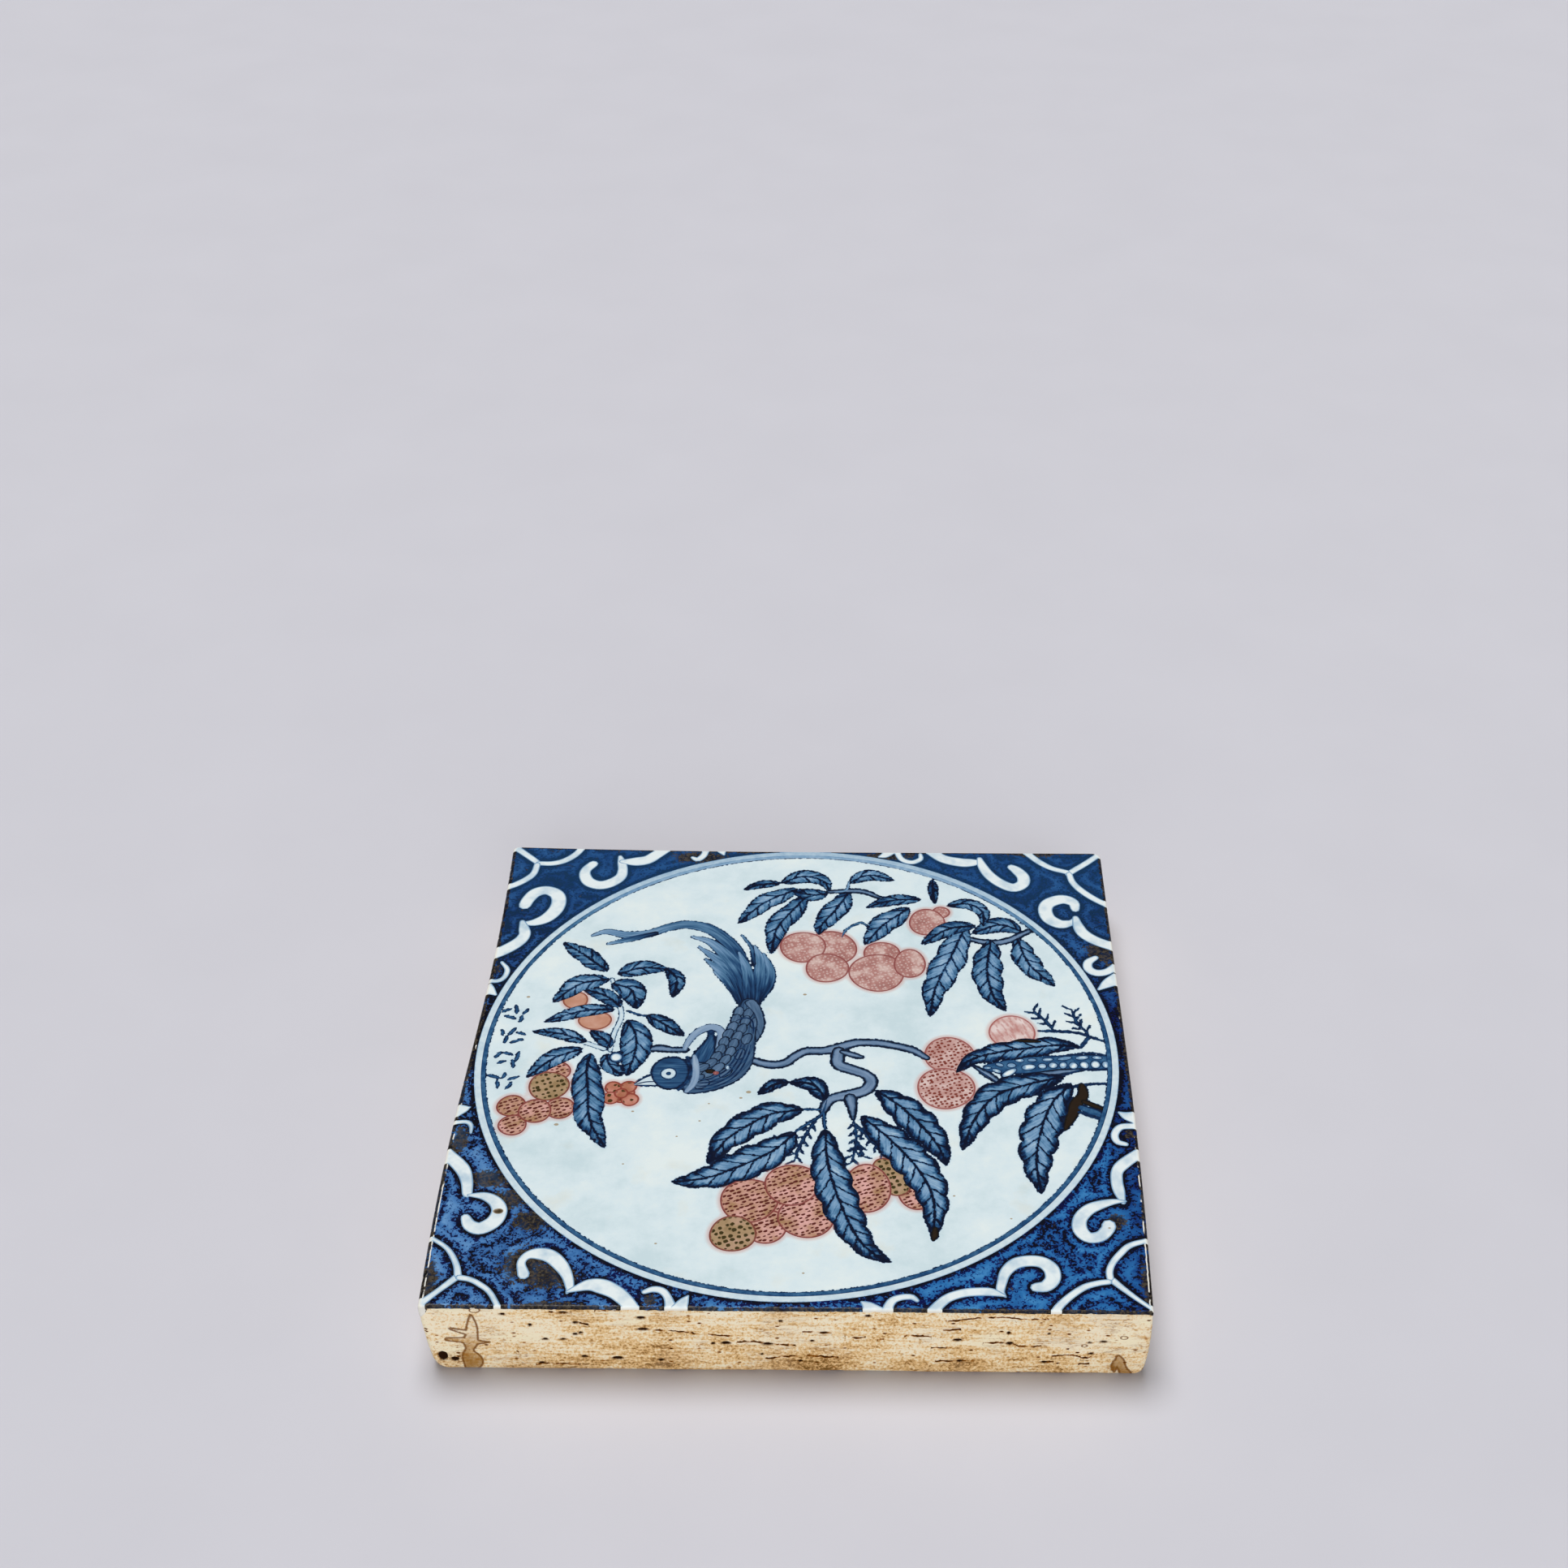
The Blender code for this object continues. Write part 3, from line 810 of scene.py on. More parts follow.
for row, row_top in enumerate(ROW_TOPS):
    for k in range(5):
        slant = math.radians(STROKE_SLANTS[(k + row) % 5])
        length = STROKE_LENGTHS[(k + 2 * row) % 5]
        reach = np.array((math.cos(slant), math.sin(slant))) * length / 2
        middle = np.array((ROW_X + STROKES_SIDEWAYS[k], row_top - STROKES_DOWN[k]))
        points = middle - reach, middle + ROW_STROKE_BEND, middle + reach
        even_brush(LINE, ROW_STROKE_WIDTH, *points)
print(len(ROW_TOPS), "rows of short strokes")

# %% Trim what runs over the edge of the panel
for shape in shapes[first_in_panel:]:
    offset = shape["outline"] - PANEL_CENTRE
    reach = np.linalg.norm(offset, axis=1)
    over = reach > LINE_INNER_RADIUS
    nearer = offset[over] * (LINE_INNER_RADIUS / reach[over])[:, None]
    shape["outline"][over] = PANEL_CENTRE + nearer
print("Nothing in the panel is farther out than", LINE_INNER_RADIUS, "mm")

# %% Iron specks
IRON_SPECK = "iron_brown_speck"
SPECKS = [
    (-82.7, -65.5, 1.5), (-70.3, -31.2, 0.7), (-85.5, 24.3, 0.6), (-48.3, -25.5, 0.45),
    (-28.2, -29.2, 0.4), (-34.5, -35.6, 0.35), (-25.9, -22, 0.35), (-49.2, -46.8, 0.35),
    (-37.3, -76.9, 0.4), (4.2, -87.2, 0.4), (46.5, -58, 0.4), (1.3, 26.7, 0.6),
    (90.1, -69.7, 0.4), (62.5, -66.5, 0.35), (-14.3, -17, 0.8), (-16.5, -19.5, 0.5)]
for x, y, radius in SPECKS:
    fruit(x, y, radius, radius * 0.7, pigment=IRON_SPECK)
print(len(shapes), "shapes in the whole painting")

# %% [markdown]
# ## The flat face, cut along the painting
# The face is one flat sheet of small triangles whose edges run along every painted outline, so
# that each pigment ends exactly where its brush stroke ends. Blender's Delaunay function makes
# such a sheet from the outlines and some loose points between them. The edge of the sheet comes
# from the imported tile, so the painting ends where the real rim begins.

# %% The edge of the flat face
PAINTING_SHIFT = np.array((-0.24, 0.0))
EDGE_STEP = 0.8
LEVEL_TOLERANCE = 0.001
TWIN_GAP = 0.05

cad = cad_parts["tile"]
cad_points = np.array([vertex.co for vertex in cad.data.vertices]) / MM
cad_faces = [tuple(polygon.vertices) for polygon in cad.data.polygons]
cad_skin = BVHTree.FromPolygons(cad_points.tolist(), cad_faces)


def cut_finer(ring, step):
    """A closed ring of points with every side cut to pieces no longer than a step."""
    finer = []
    for a, b in zip(ring, np.roll(ring, -1, axis=0)):
        count = max(1, math.ceil(np.linalg.norm(b - a) / step))
        finer += [a + (b - a) * k / count for k in range(count)]
    return np.array(finer)


on_face = cad_points[:, 2] > tile_high.z - LEVEL_TOLERANCE
face_points = cad_points[on_face][:, :2] - PAINTING_SHIFT
face_ring = face_points[np.argsort(np.arctan2(face_points[:, 1], face_points[:, 0]))]
apart = np.linalg.norm(face_ring - np.roll(face_ring, 1, axis=0), axis=1) > TWIN_GAP
face_ring = cut_finer(face_ring[apart], EDGE_STEP)
print("The flat face has", len(face_ring), "points round its edge")

# %% Is a point inside an outline?
BATCH = 4000


def inside(points, outline):
    """Which points lie inside a closed outline, by how often it winds round them."""
    a, b = outline, np.roll(outline, -1, axis=0)
    answers = []
    for some in np.array_split(points, len(points) // BATCH + 1):
        x, y = some[:, :1], some[:, 1:]
        turn = (b[:, 0] - a[:, 0]) * (y - a[:, 1]) - (x - a[:, 0]) * (b[:, 1] - a[:, 1])
        rising = (a[:, 1] <= y) & (b[:, 1] > y) & (turn > 0)
        falling = (b[:, 1] <= y) & (a[:, 1] > y) & (turn < 0)
        answers.append(rising.sum(axis=1) != falling.sum(axis=1))
    return np.concatenate(answers)


print("The middle of the face is inside its edge:", bool(inside(np.zeros((1, 2)), face_ring)[0]))

# %% Loose points between the outlines
HALO = 0.55
PANEL_GAP = 1.25
CORNER_GAP = 1.0
KEEP_CLEAR = 0.42
WIDE_SHAPE = 1.4


def honeycomb(gap):
    """Evenly spread points over the whole face."""
    half = tile_high.x + 1
    rows = np.arange(-half, half, gap * math.sqrt(3) / 2)
    line = np.arange(-half, half, gap)
    return np.array([(x + gap / 2 * (k % 2), y) for k, y in enumerate(rows) for x in line])


def thin_out(points, gap, fixed=()):
    """Leaves out each point that is too close to a fixed point or to one kept before it."""
    cells = {}
    kept = []
    for number, (x, y) in enumerate(list(fixed) + list(points)):
        column, row = int(x // gap), int(y // gap)
        near = [p for i in (-1, 0, 1) for j in (-1, 0, 1)
                for p in cells.get((column + i, row + j), ())]
        free = all((x - px) ** 2 + (y - py) ** 2 > gap * gap for px, py in near)
        if number >= len(fixed) and not free:
            continue
        cells.setdefault((column, row), []).append((x, y))
        if number >= len(fixed):
            kept.append((x, y))
    return kept


def beside(shape, distance):
    """The outline's points moved outwards, or inwards for a negative distance."""
    outline = shape["outline"]
    ahead = np.roll(outline, -1, axis=0) - np.roll(outline, 1, axis=0)
    out = np.stack([ahead[:, 1], -ahead[:, 0]], axis=1)
    out /= np.linalg.norm(out, axis=1)[:, None] + 1e-9
    area = np.sum(outline[:, 0] * np.roll(outline[:, 1], -1) - np.roll(outline[:, 0], -1)
                  * outline[:, 1])
    return outline + out * distance * (1 if area > 0 else -1)


loose = [beside(shape, HALO) for shape in shapes]
loose += [beside(shape, -HALO) for shape in shapes if shape["half"] > WIDE_SHAPE]
panel_cells, corner_cells = honeycomb(PANEL_GAP), honeycomb(CORNER_GAP)
in_panel = np.linalg.norm(panel_cells - PANEL_CENTRE, axis=1) < PALE_BAND_RADIUS
in_corners = np.linalg.norm(corner_cells - PANEL_CENTRE, axis=1) > PALE_BAND_RADIUS
loose += [panel_cells[in_panel], corner_cells[in_corners]]
fixed = np.vstack([face_ring] + [shape["outline"] for shape in shapes]
                  + [shape["spine"] for shape in shapes if shape["split"]])
loose = np.vstack(loose)
loose = thin_out(loose[inside(loose, face_ring)], KEEP_CLEAR, fixed)
print(len(fixed), "points on outlines and", len(loose), "between them")

# %% Cut the sheet
CUT_TOLERANCE = 1e-4


def flat_mesh(rings, lines=(), loose=()):
    """Triangles over closed rings, open lines and loose points, and where each point came from."""
    spots, edges = [], []
    for number, group in enumerate(list(rings) + list(lines)):
        first, count = len(spots), len(group)
        spots += [Vector(p) for p in group]
        edges += [(first + k, first + k + 1) for k in range(count - 1)]
        if number < len(rings):
            edges.append((first + count - 1, first))
    spots += [Vector(p) for p in loose]
    found = delaunay_2d_cdt(spots, edges, [], 0, CUT_TOLERANCE)
    points, triangles, sources = np.array([p[:] for p in found[0]]), np.array(found[2]), found[3]
    middles = points[triangles].mean(axis=1)
    return points, triangles[inside(middles, rings[0])], sources


spines = [shape["spine"] for shape in shapes if shape["split"]]
outlines = [shape["outline"] for shape in shapes]
points, triangles, sources = flat_mesh([face_ring] + outlines, spines, loose)
used, triangles = np.unique(triangles, return_inverse=True)
points, triangles = points[used], triangles.reshape(-1, 3)
a, b, c = (points[triangles[:, k]] for k in range(3))
area = (b[:, 0] - a[:, 0]) * (c[:, 1] - a[:, 1]) - (c[:, 0] - a[:, 0]) * (b[:, 1] - a[:, 1])
triangles[area < 0] = triangles[area < 0][:, ::-1]
print(len(triangles), "triangles over", round(np.abs(area).sum() / 200), "square cm")

# %% [markdown]
# ## What each triangle is painted with
# A triangle belongs to the last shape that covers its middle. The rest is the heavy cobalt of
# the corners. The shaders also need to know where on a stroke they are, so each corner of each
# triangle keeps three small sets of numbers, all in millimetres:
# stroke holds the way along the stroke, the way across it and the way in from its edge;
# motif holds the stroke's length, half its width and its tone from 0 to 1;
# soak holds how far away the nearest cobalt, the nearest copper and the tile's rim are.

# %% Which shape covers each triangle
CORNERS = "heaped_cobalt_ground"
COPPER = (RED, OLIVE, ORANGE, PALE_RED, FRESH_RED, THIN_RED, FLOWER)
UNPAINTED = (WHITE, IRON_SPECK)

middles = points[triangles].mean(axis=1)
owner = np.full(len(triangles), -1)
for number, shape in enumerate(shapes):
    low, high = shape["outline"].min(axis=0), shape["outline"].max(axis=0)
    near = np.where(((middles > low) & (middles < high)).all(axis=1))[0]
    if len(near):
        owner[near[inside(middles[near], shape["outline"])]] = number
pigments = sorted({shape["pigment"] for shape in shapes} | {CORNERS})
shape_pigment = [pigments.index(shape["pigment"]) for shape in shapes] + [pigments.index(CORNERS)]
pigment_of = np.array(shape_pigment)[owner]
print({name: int((pigment_of == k).sum()) for k, name in enumerate(pigments)})

# %% Distances
FAR = 9.0


def distances(places, starts, ends):
    """How far places are from the nearest of many short pieces of line, up to FAR."""
    posts = np.zeros((len(starts), 4, 3))
    posts[:, 0, :2] = posts[:, 3, :2] = starts
    posts[:, 1, :2] = posts[:, 2, :2] = ends
    posts[:, :2, 2] = -1
    posts[:, 2:, 2] = 1
    fence = np.arange(len(starts) * 4).reshape(-1, 4)
    fence = BVHTree.FromPolygons(posts.reshape(-1, 3).tolist(), fence.tolist())
    found = [fence.find_nearest((x, y, 0.0), FAR)[3] for x, y in places]
    return np.array([FAR if way is None else way for way in found])


def along_and_across(places, spine):
    """The way along a line to the foot of each place, and how far the place is to its left."""
    start, run = spine[:-1], np.diff(spine, axis=0)
    length = np.linalg.norm(run, axis=1) + 1e-9
    unit = run / length[:, None]
    reach = np.append(0, np.cumsum(length)[:-1])
    offset = places[:, None, :] - start
    way = np.clip((offset * unit).sum(axis=2), 0, length)
    aside = offset - unit * way[..., None]
    gap = np.linalg.norm(aside, axis=2)
    best = gap.argmin(axis=1)
    every = np.arange(len(places))
    left = unit[best, 0] * aside[every, best, 1] - unit[best, 1] * aside[every, best, 0]
    return reach[best] + way[every, best], np.copysign(gap[every, best], left)


print("Distances are kept up to", FAR, "mm")

# %% Edges where two pigments meet
sides = np.sort(np.vstack([triangles[:, pair] for pair in ([0, 1], [1, 2], [2, 0])]), axis=1)
side_owner = np.tile(np.arange(len(triangles)), 3)
side_key = sides[:, 0].astype(np.int64) * len(points) + sides[:, 1]
order = np.argsort(side_key, kind="stable")
shared = side_key[order][1:] == side_key[order][:-1]
one, other = side_owner[order[:-1][shared]], side_owner[order[1:][shared]]
seam = sides[order[:-1][shared]]


def seams_between(first, second):
    """The two ends of every edge where a pigment of one group meets one of another group."""
    is_first = np.isin(pigment_of, [pigments.index(name) for name in first])
    is_second = np.isin(pigment_of, [pigments.index(name) for name in second])
    meets = (is_first[one] & is_second[other]) | (is_second[one] & is_first[other])
    return points[seam[meets][:, 0]], points[seam[meets][:, 1]]


cobalt = [name for name in pigments if name not in COPPER + UNPAINTED]
others = [name for name in pigments if name != CORNERS]
cobalt_seams = seams_between([WHITE], cobalt)
copper_seams = seams_between([WHITE], COPPER)
corner_seams = seams_between([CORNERS], others)
print(len(cobalt_seams[0]), "edges of cobalt and", len(copper_seams[0]), "of copper on white")

# %% The numbers at each triangle's corners
stroke = np.zeros((len(triangles), 3, 3))
motif = np.zeros((len(triangles), 3, 3))
soak = np.full((len(triangles), 3, 3), FAR)
for number in np.unique(owner):
    mine = np.where(owner == number)[0]
    used, corner = np.unique(triangles[mine], return_inverse=True)
    corner = corner.reshape(-1, 3)
    places = points[used]
    pigment = CORNERS if number < 0 else shapes[number]["pigment"]
    if pigment == CORNERS:
        edge = distances(places, *corner_seams)
        stroke[mine] = np.column_stack([places, edge])[corner]
        motif[mine] = (FAR, FAR, 0.5)
        continue
    shape = shapes[number]
    if pigment == WHITE:
        stroke[mine, :, :2] = places[corner]
        soak[mine, :, 0] = distances(places, *cobalt_seams)[corner]
        soak[mine, :, 1] = distances(places, *copper_seams)[corner]
        continue
    along, across = along_and_across(places, shape["spine"])
    outline = shape["outline"]
    edge = distances(places, outline, np.roll(outline, -1, axis=0))
    stroke[mine] = np.column_stack([along, across, edge])[corner]
    length = np.linalg.norm(np.diff(shape["spine"], axis=0), axis=1).sum()
    motif[mine] = (length, shape["half"], shape["tone"])
rim = distances(points, face_ring, np.roll(face_ring, -1, axis=0))
soak[:, :, 2] = rim[triangles]
print("Corner numbers for", len(np.unique(owner)), "visible shapes")

# %% [markdown]
# ## Brown iron patches
# Where the cobalt was laid on thickest it boiled to a brownish black, mostly in the corners and
# along the rim. Each patch is a soft oval whose strength fades to its edge.

# %% Brown patches
BROWN_FADE = 1.3
# each patch: X, Y, half width, half height
BROWN_PATCHES = [
    (-67, -89, 9, 5), (-73, -85, 7, 7), (-87, -53, 7, 4), (-80, -61, 6, 4), (-73, -69, 6, 4),
    (-97.5, -38, 2.5, 6), (-64, -99.5, 9, 1.8), (-36, 95, 10, 3), (27, 97, 8, 2.4),
    (99.5, -90, 2.2, 9), (-98.5, -92, 3, 9), (95, 49, 4, 4), (-40, 95, 5, 3), (92.5, -67, 3, 3),
    (-37.2, -97.2, 2, 2), (35, 98.3, 2.6, 2.4), (97.6, 47, 2.5, 5), (-97.5, 37.2, 2, 2.2),
    (99, -33, 1.6, 2), (76, 99, 10, 2), (-8, 98.8, 26, 1.2)]

iron = np.zeros(len(points))
for x, y, half_wide, half_tall in BROWN_PATCHES:
    reach = np.hypot((points[:, 0] - x) / half_wide, (points[:, 1] - y) / half_tall)
    iron = np.maximum(iron, np.clip(BROWN_FADE - reach, 0, 1))
iron = iron[triangles]
print(len(BROWN_PATCHES), "brown patches")

# %% [markdown]
# ## The coat of glaze
# The coat is a closed shell about 0.4 mm thick. Its top is the painted sheet, which sags a tenth
# of a millimetre here and there. It rolls over the rim in a quarter round, runs a little way down
# the sides and stops in a ragged line. At one corner it ran down nearly to the foot.

# %% The loop of points round the rim
edge_keys, edge_counts = np.unique(side_key, return_counts=True)
rim_sides = np.isin(side_key, edge_keys[edge_counts == 1])
rim_triangle = {}
for pair in ([0, 1], [1, 2], [2, 0]):
    start = pair[0]
    block = slice(len(triangles) * start, len(triangles) * (start + 1))
    for t in np.where(rim_sides[block])[0]:
        rim_triangle[int(triangles[t, pair[0]])] = (int(triangles[t, pair[1]]), int(t), pair)
rim_loop = [next(iter(rim_triangle))]
while rim_triangle[rim_loop[-1]][0] != rim_loop[0]:
    rim_loop.append(rim_triangle[rim_loop[-1]][0])
rim_points = points[rim_loop]
print("The rim has", len(rim_loop), "points")

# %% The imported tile's skin, and the sag of the face
SAG = 0.1
SAG_SIZE = 45.0
REACH_IN = 4.0


def skin_at(place, out, height):
    """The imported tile's skin straight outwards from a place inside it, at one height."""
    start = Vector((*(place + PAINTING_SHIFT - out * REACH_IN), height))
    hit = cad_skin.ray_cast(start, Vector((*out, 0.0)))[0]
    return np.array(hit[:2]) - PAINTING_SHIFT


def sag_at(place):
    """How far the face sags below its highest level at a place."""
    dip = noise.noise(Vector((*place, 3.0)) / SAG_SIZE)
    return SAG * max(0.0, 0.5 + dip)


print("The middle of the face sags", round(sag_at((0.0, 0.0)), 3), "mm")

# %% How far the glaze runs down the side
COAT_THICKNESS = 0.4
APRON = 0.08
RAGGED = 0.35
RAGGED_SIZE = 2.3
FRAYED_SIZE = 0.9
RUN_LENGTH = 3.0
RUN_WIDTH = 4.0
FRONT_SHARE = 4
BELOW_ROUND = 2.0
ARRIS_TURNS = [math.radians(angle) for angle in (25, 50, 72, 90)]
APRON_ROWS = 5
LIP = 0.15
LIP_RISE = 0.6
LIP_TOP = 0.9

rim_ahead = np.roll(rim_points, -1, axis=0) - np.roll(rim_points, 1, axis=0)
rim_out = np.stack([rim_ahead[:, 1], -rim_ahead[:, 0]], axis=1)
rim_out /= np.linalg.norm(rim_out, axis=1)[:, None]
top = tile_high.z
run_corner = rim_points[np.argmin(rim_points.sum(axis=1))]
rings, drops = [], []
for place, out in zip(rim_points, rim_out):
    level = top - sag_at(place)
    round_size = np.linalg.norm(skin_at(place, out, top - BELOW_ROUND) - place)
    column = [np.array((*(place + out * round_size * math.sin(a)),
                        level - round_size * (1 - math.cos(a)))) for a in ARRIS_TURNS]
    ragged = noise.noise(Vector((*place, 7.0)) / RAGGED_SIZE)
    ragged += noise.noise(Vector((*place, 1.0)) / FRAYED_SIZE)
    apron = APRON + RAGGED * max(0.0, 0.5 + 0.5 * ragged)
    from_corner = place - run_corner
    away = np.hypot(*(from_corner if out[0] < -0.5 else from_corner * FRONT_SHARE))
    apron += RUN_LENGTH * max(0.0, 1 - away / RUN_WIDTH) ** 0.5
    foot = level - round_size - apron
    for row in range(1, APRON_ROWS + 1):
        height = level - round_size - apron * row / APRON_ROWS
        column.append(np.array((*skin_at(place, out, height), height)))
    lip = column[-1][:2] - out * LIP
    column.append(np.array((*lip, foot + LIP / 2)))
    inner = place + out * (round_size - COAT_THICKNESS)
    column.append(np.array((*inner, min(foot + LIP_RISE, top - LIP_TOP))))
    column.append(np.array((*place, top - COAT_THICKNESS)))
    rings.append(column)
    steps = np.linalg.norm(np.diff([(*place, level)] + column, axis=0), axis=1)
    drops.append(np.cumsum(steps))
rings = np.array(rings).transpose(1, 0, 2)
drops = np.array(drops).T
foot_drop = drops[len(ARRIS_TURNS) + APRON_ROWS - 1]
print("The glaze runs", [round(float(v), 1) for v in (foot_drop.min(), foot_drop.max())],
      "mm down the side")

# %% Helpers that make a mesh
BAKE_MAP = "OFBake"


def make_piece(name, places, faces, face_map):
    """An object from points in millimetres and faces, with its own flat map for baking."""
    mesh = bpy.data.meshes.new(name)
    mesh.from_pydata((np.array(places) * MM).tolist(), [], faces)
    flat = mesh.uv_layers.new(name=BAKE_MAP)
    flat.data.foreach_set("uv", np.array(face_map, np.float32).ravel())
    mesh.shade_smooth()
    piece = bpy.data.objects.new(name, mesh)
    bpy.context.scene.collection.objects.link(piece)
    return piece


def note_corners(piece, name, values):
    """Keeps a set of three numbers, or one number, at each corner of each face."""
    kind, key = ("FLOAT_VECTOR", "vector") if values.ndim == 2 else ("FLOAT", "value")
    attribute = piece.data.attributes.new(name, kind, "CORNER")
    attribute.data.foreach_set(key, np.ascontiguousarray(values, np.float32).ravel())


def cap(ring, gap, ring_places, next_place):
    """Triangles that close a ring: its loose points, then each triangle's spots and places."""
    cells = honeycomb(gap)
    cells = cells[inside(cells, ring)]
    cells = np.array(thin_out(cells, gap / 2, ring))
    spots, triangles, sources = flat_mesh([ring], loose=cells)
    count = len(ring)
    index = np.array([ring_places[s[0]] if s[0] < count else next_place + s[0] - count
                      for s in sources])
    return cells, spots[triangles], index[triangles]


print("Every mesh has a flat map named", BAKE_MAP)

# %% The sheet and the numbers at its corners
MAP_SPAN = 208.0
MAP_STRETCH = 2.0

sheet = np.column_stack([points, [top - sag_at(place) for place in points]])
places = [sheet] + list(rings)
ring_start = len(sheet) + np.arange(len(rings)) * len(rim_loop)
upper = np.vstack([rim_loop] + [start + np.arange(len(rim_loop)) for start in ring_start])

faces = triangles.tolist()
slots = pigment_of.tolist()
corner_sets = {"stroke": stroke, "motif": motif, "soak": soak, "iron": iron}
numbers = {name: [array.reshape(-1, *array.shape[2:])] for name, array in corner_sets.items()}
flat_map = [points[triangles].reshape(-1, 2) / MAP_SPAN + 0.5]
print("The sheet has", len(sheet), "points")

# %% The rolled edge and the runs down the side
LONG_RUN = 3.0

run_rows = range(len(ARRIS_TURNS), len(rings))
for k, vertex in enumerate(rim_loop):
    _, triangle, pair = rim_triangle[vertex]
    n = (k + 1) % len(rim_loop)
    ends = np.array([n, k, k, n])
    for row in range(len(rings)):
        faces.append((int(upper[row, n]), int(upper[row, k]), int(upper[row + 1, k]),
                      int(upper[row + 1, n])))
        in_run = row in run_rows and min(foot_drop[k], foot_drop[n]) > LONG_RUN
        slots.append(pigments.index(SCROLL) if in_run else pigment_of[triangle])
        fall = [drops[row - 1] if row else np.zeros(len(rim_loop)), drops[row]]
        falls = np.array([fall[0][n], fall[0][k], fall[1][k], fall[1][n]])
        for name, array in corner_sets.items():
            numbers[name].append(array[triangle][[pair[1], pair[0], pair[0], pair[1]]])
        numbers["soak"][-1][:, 2] = -falls
        spread = MAP_STRETCH * (1 - np.exp(-falls / MAP_STRETCH))
        flat_map.append((rim_points[ends] + rim_out[ends] * spread[:, None]) / MAP_SPAN + 0.5)
print(len(rim_loop) * len(rings), "faces in the rolled edge")

# %% The hidden underside of the coat
UNDERSIDE_GAP = 9.0
UNDERSIDE_ON_MAP = 0.01
UNDERSIDE_SHIFT = 0.006

next_place = len(sheet) + len(rings) * len(rim_loop)
cells, spots, corners = cap(rings[-1][:, :2], UNDERSIDE_GAP, upper[-1], next_place)
places.append(np.column_stack([cells, np.full(len(cells), top - COAT_THICKNESS)]))
faces += corners[:, ::-1].tolist()
slots += [pigments.index(WHITE)] * len(corners)
for name, array in corner_sets.items():
    rest = 0.0 if name == "iron" else FAR
    numbers[name].append(np.full((len(corners) * 3, *array.shape[2:]), rest))
flat_map.append(spots[:, ::-1].reshape(-1, 2) / MAP_SPAN * UNDERSIDE_ON_MAP + UNDERSIDE_SHIFT)

places = np.vstack(places)
places[:, :2] += PAINTING_SHIFT
glaze_coat = make_piece("glaze_coat", places, faces, np.vstack(flat_map))
glaze_coat.data.polygons.foreach_set("material_index", np.array(slots, np.int32))
for name, arrays in numbers.items():
    note_corners(glaze_coat, name, np.concatenate(arrays))
print("glaze_coat has", len(faces), "faces")

# %% [markdown]
# ## The clay body
# The body is coarse clay that was beaten into a frame in layers, so its bare sides show level
# bedding, small pits and cracks that follow the layers. The mesh is a grid of upright columns
# and level rows wrapped round the tile. Each point is found with a ray from inside the packed
# tile, so the body keeps its exact size, and is then pushed in a little to make the relief.

# %% Columns and rows round the body
COLUMN_STEP = 0.62
FAN_START = 84.0
FAN_STEPS = 40
FOOT_ROWS = [0.03, 0.15, 0.35, 0.6, 0.95, 1.35, 1.8]
FIRST_EVEN_ROW = 2.27
ROW_STEP = 0.47
TOP_ROW = 25.3

columns = []
straight = np.arange(-FAN_START, FAN_START, COLUMN_STEP)
for turn in range(4):
    facing = math.radians(90 * turn - 90)
    out = np.array((math.cos(facing), math.sin(facing)))
    onward = np.array((-out[1], out[0]))
    for x in straight:
        columns.append((out * FAN_START + onward * x, out, turn))
    pivot = (out + onward) * FAN_START
    for step in range(FAN_STEPS):
        angle = facing + math.radians(90) * step / FAN_STEPS
        way = np.array((math.cos(angle), math.sin(angle)))
        columns.append((pivot, way, turn if step < FAN_STEPS / 2 else (turn + 1) % 4))
even_rows = np.arange(FIRST_EVEN_ROW, TOP_ROW, ROW_STEP)
row_heights = np.array([*FOOT_ROWS, *even_rows, TOP_ROW])

skin = np.zeros((len(row_heights), len(columns), 3))
for r, height in enumerate(row_heights):
    for c, (start, way, _) in enumerate(columns):
        skin[r, c] = cad_skin.ray_cast(Vector((*start, height)), Vector((*way, 0.0)))[0]
ways = np.array([way for _, way, _ in columns])
side_of = np.array([side for _, _, side in columns])
lengthwise = np.where(side_of % 2 == 0, skin[:, :, 0], skin[:, :, 1])
lengthwise = lengthwise * np.where(side_of < 2, 1, -1)
heights = skin[:, :, 2]
print(len(columns), "columns and", len(row_heights), "rows of clay")

# %% [markdown]
# ## Pits, cracks and stains in the clay
# A pit is where a lump of grit or a bubble fell out. A crack is a layer that opened as the clay
# dried. The front side has those that the real tile shows, and the other sides have scattered
# ones of the same kinds. X is measured along a side to the right as one faces it.

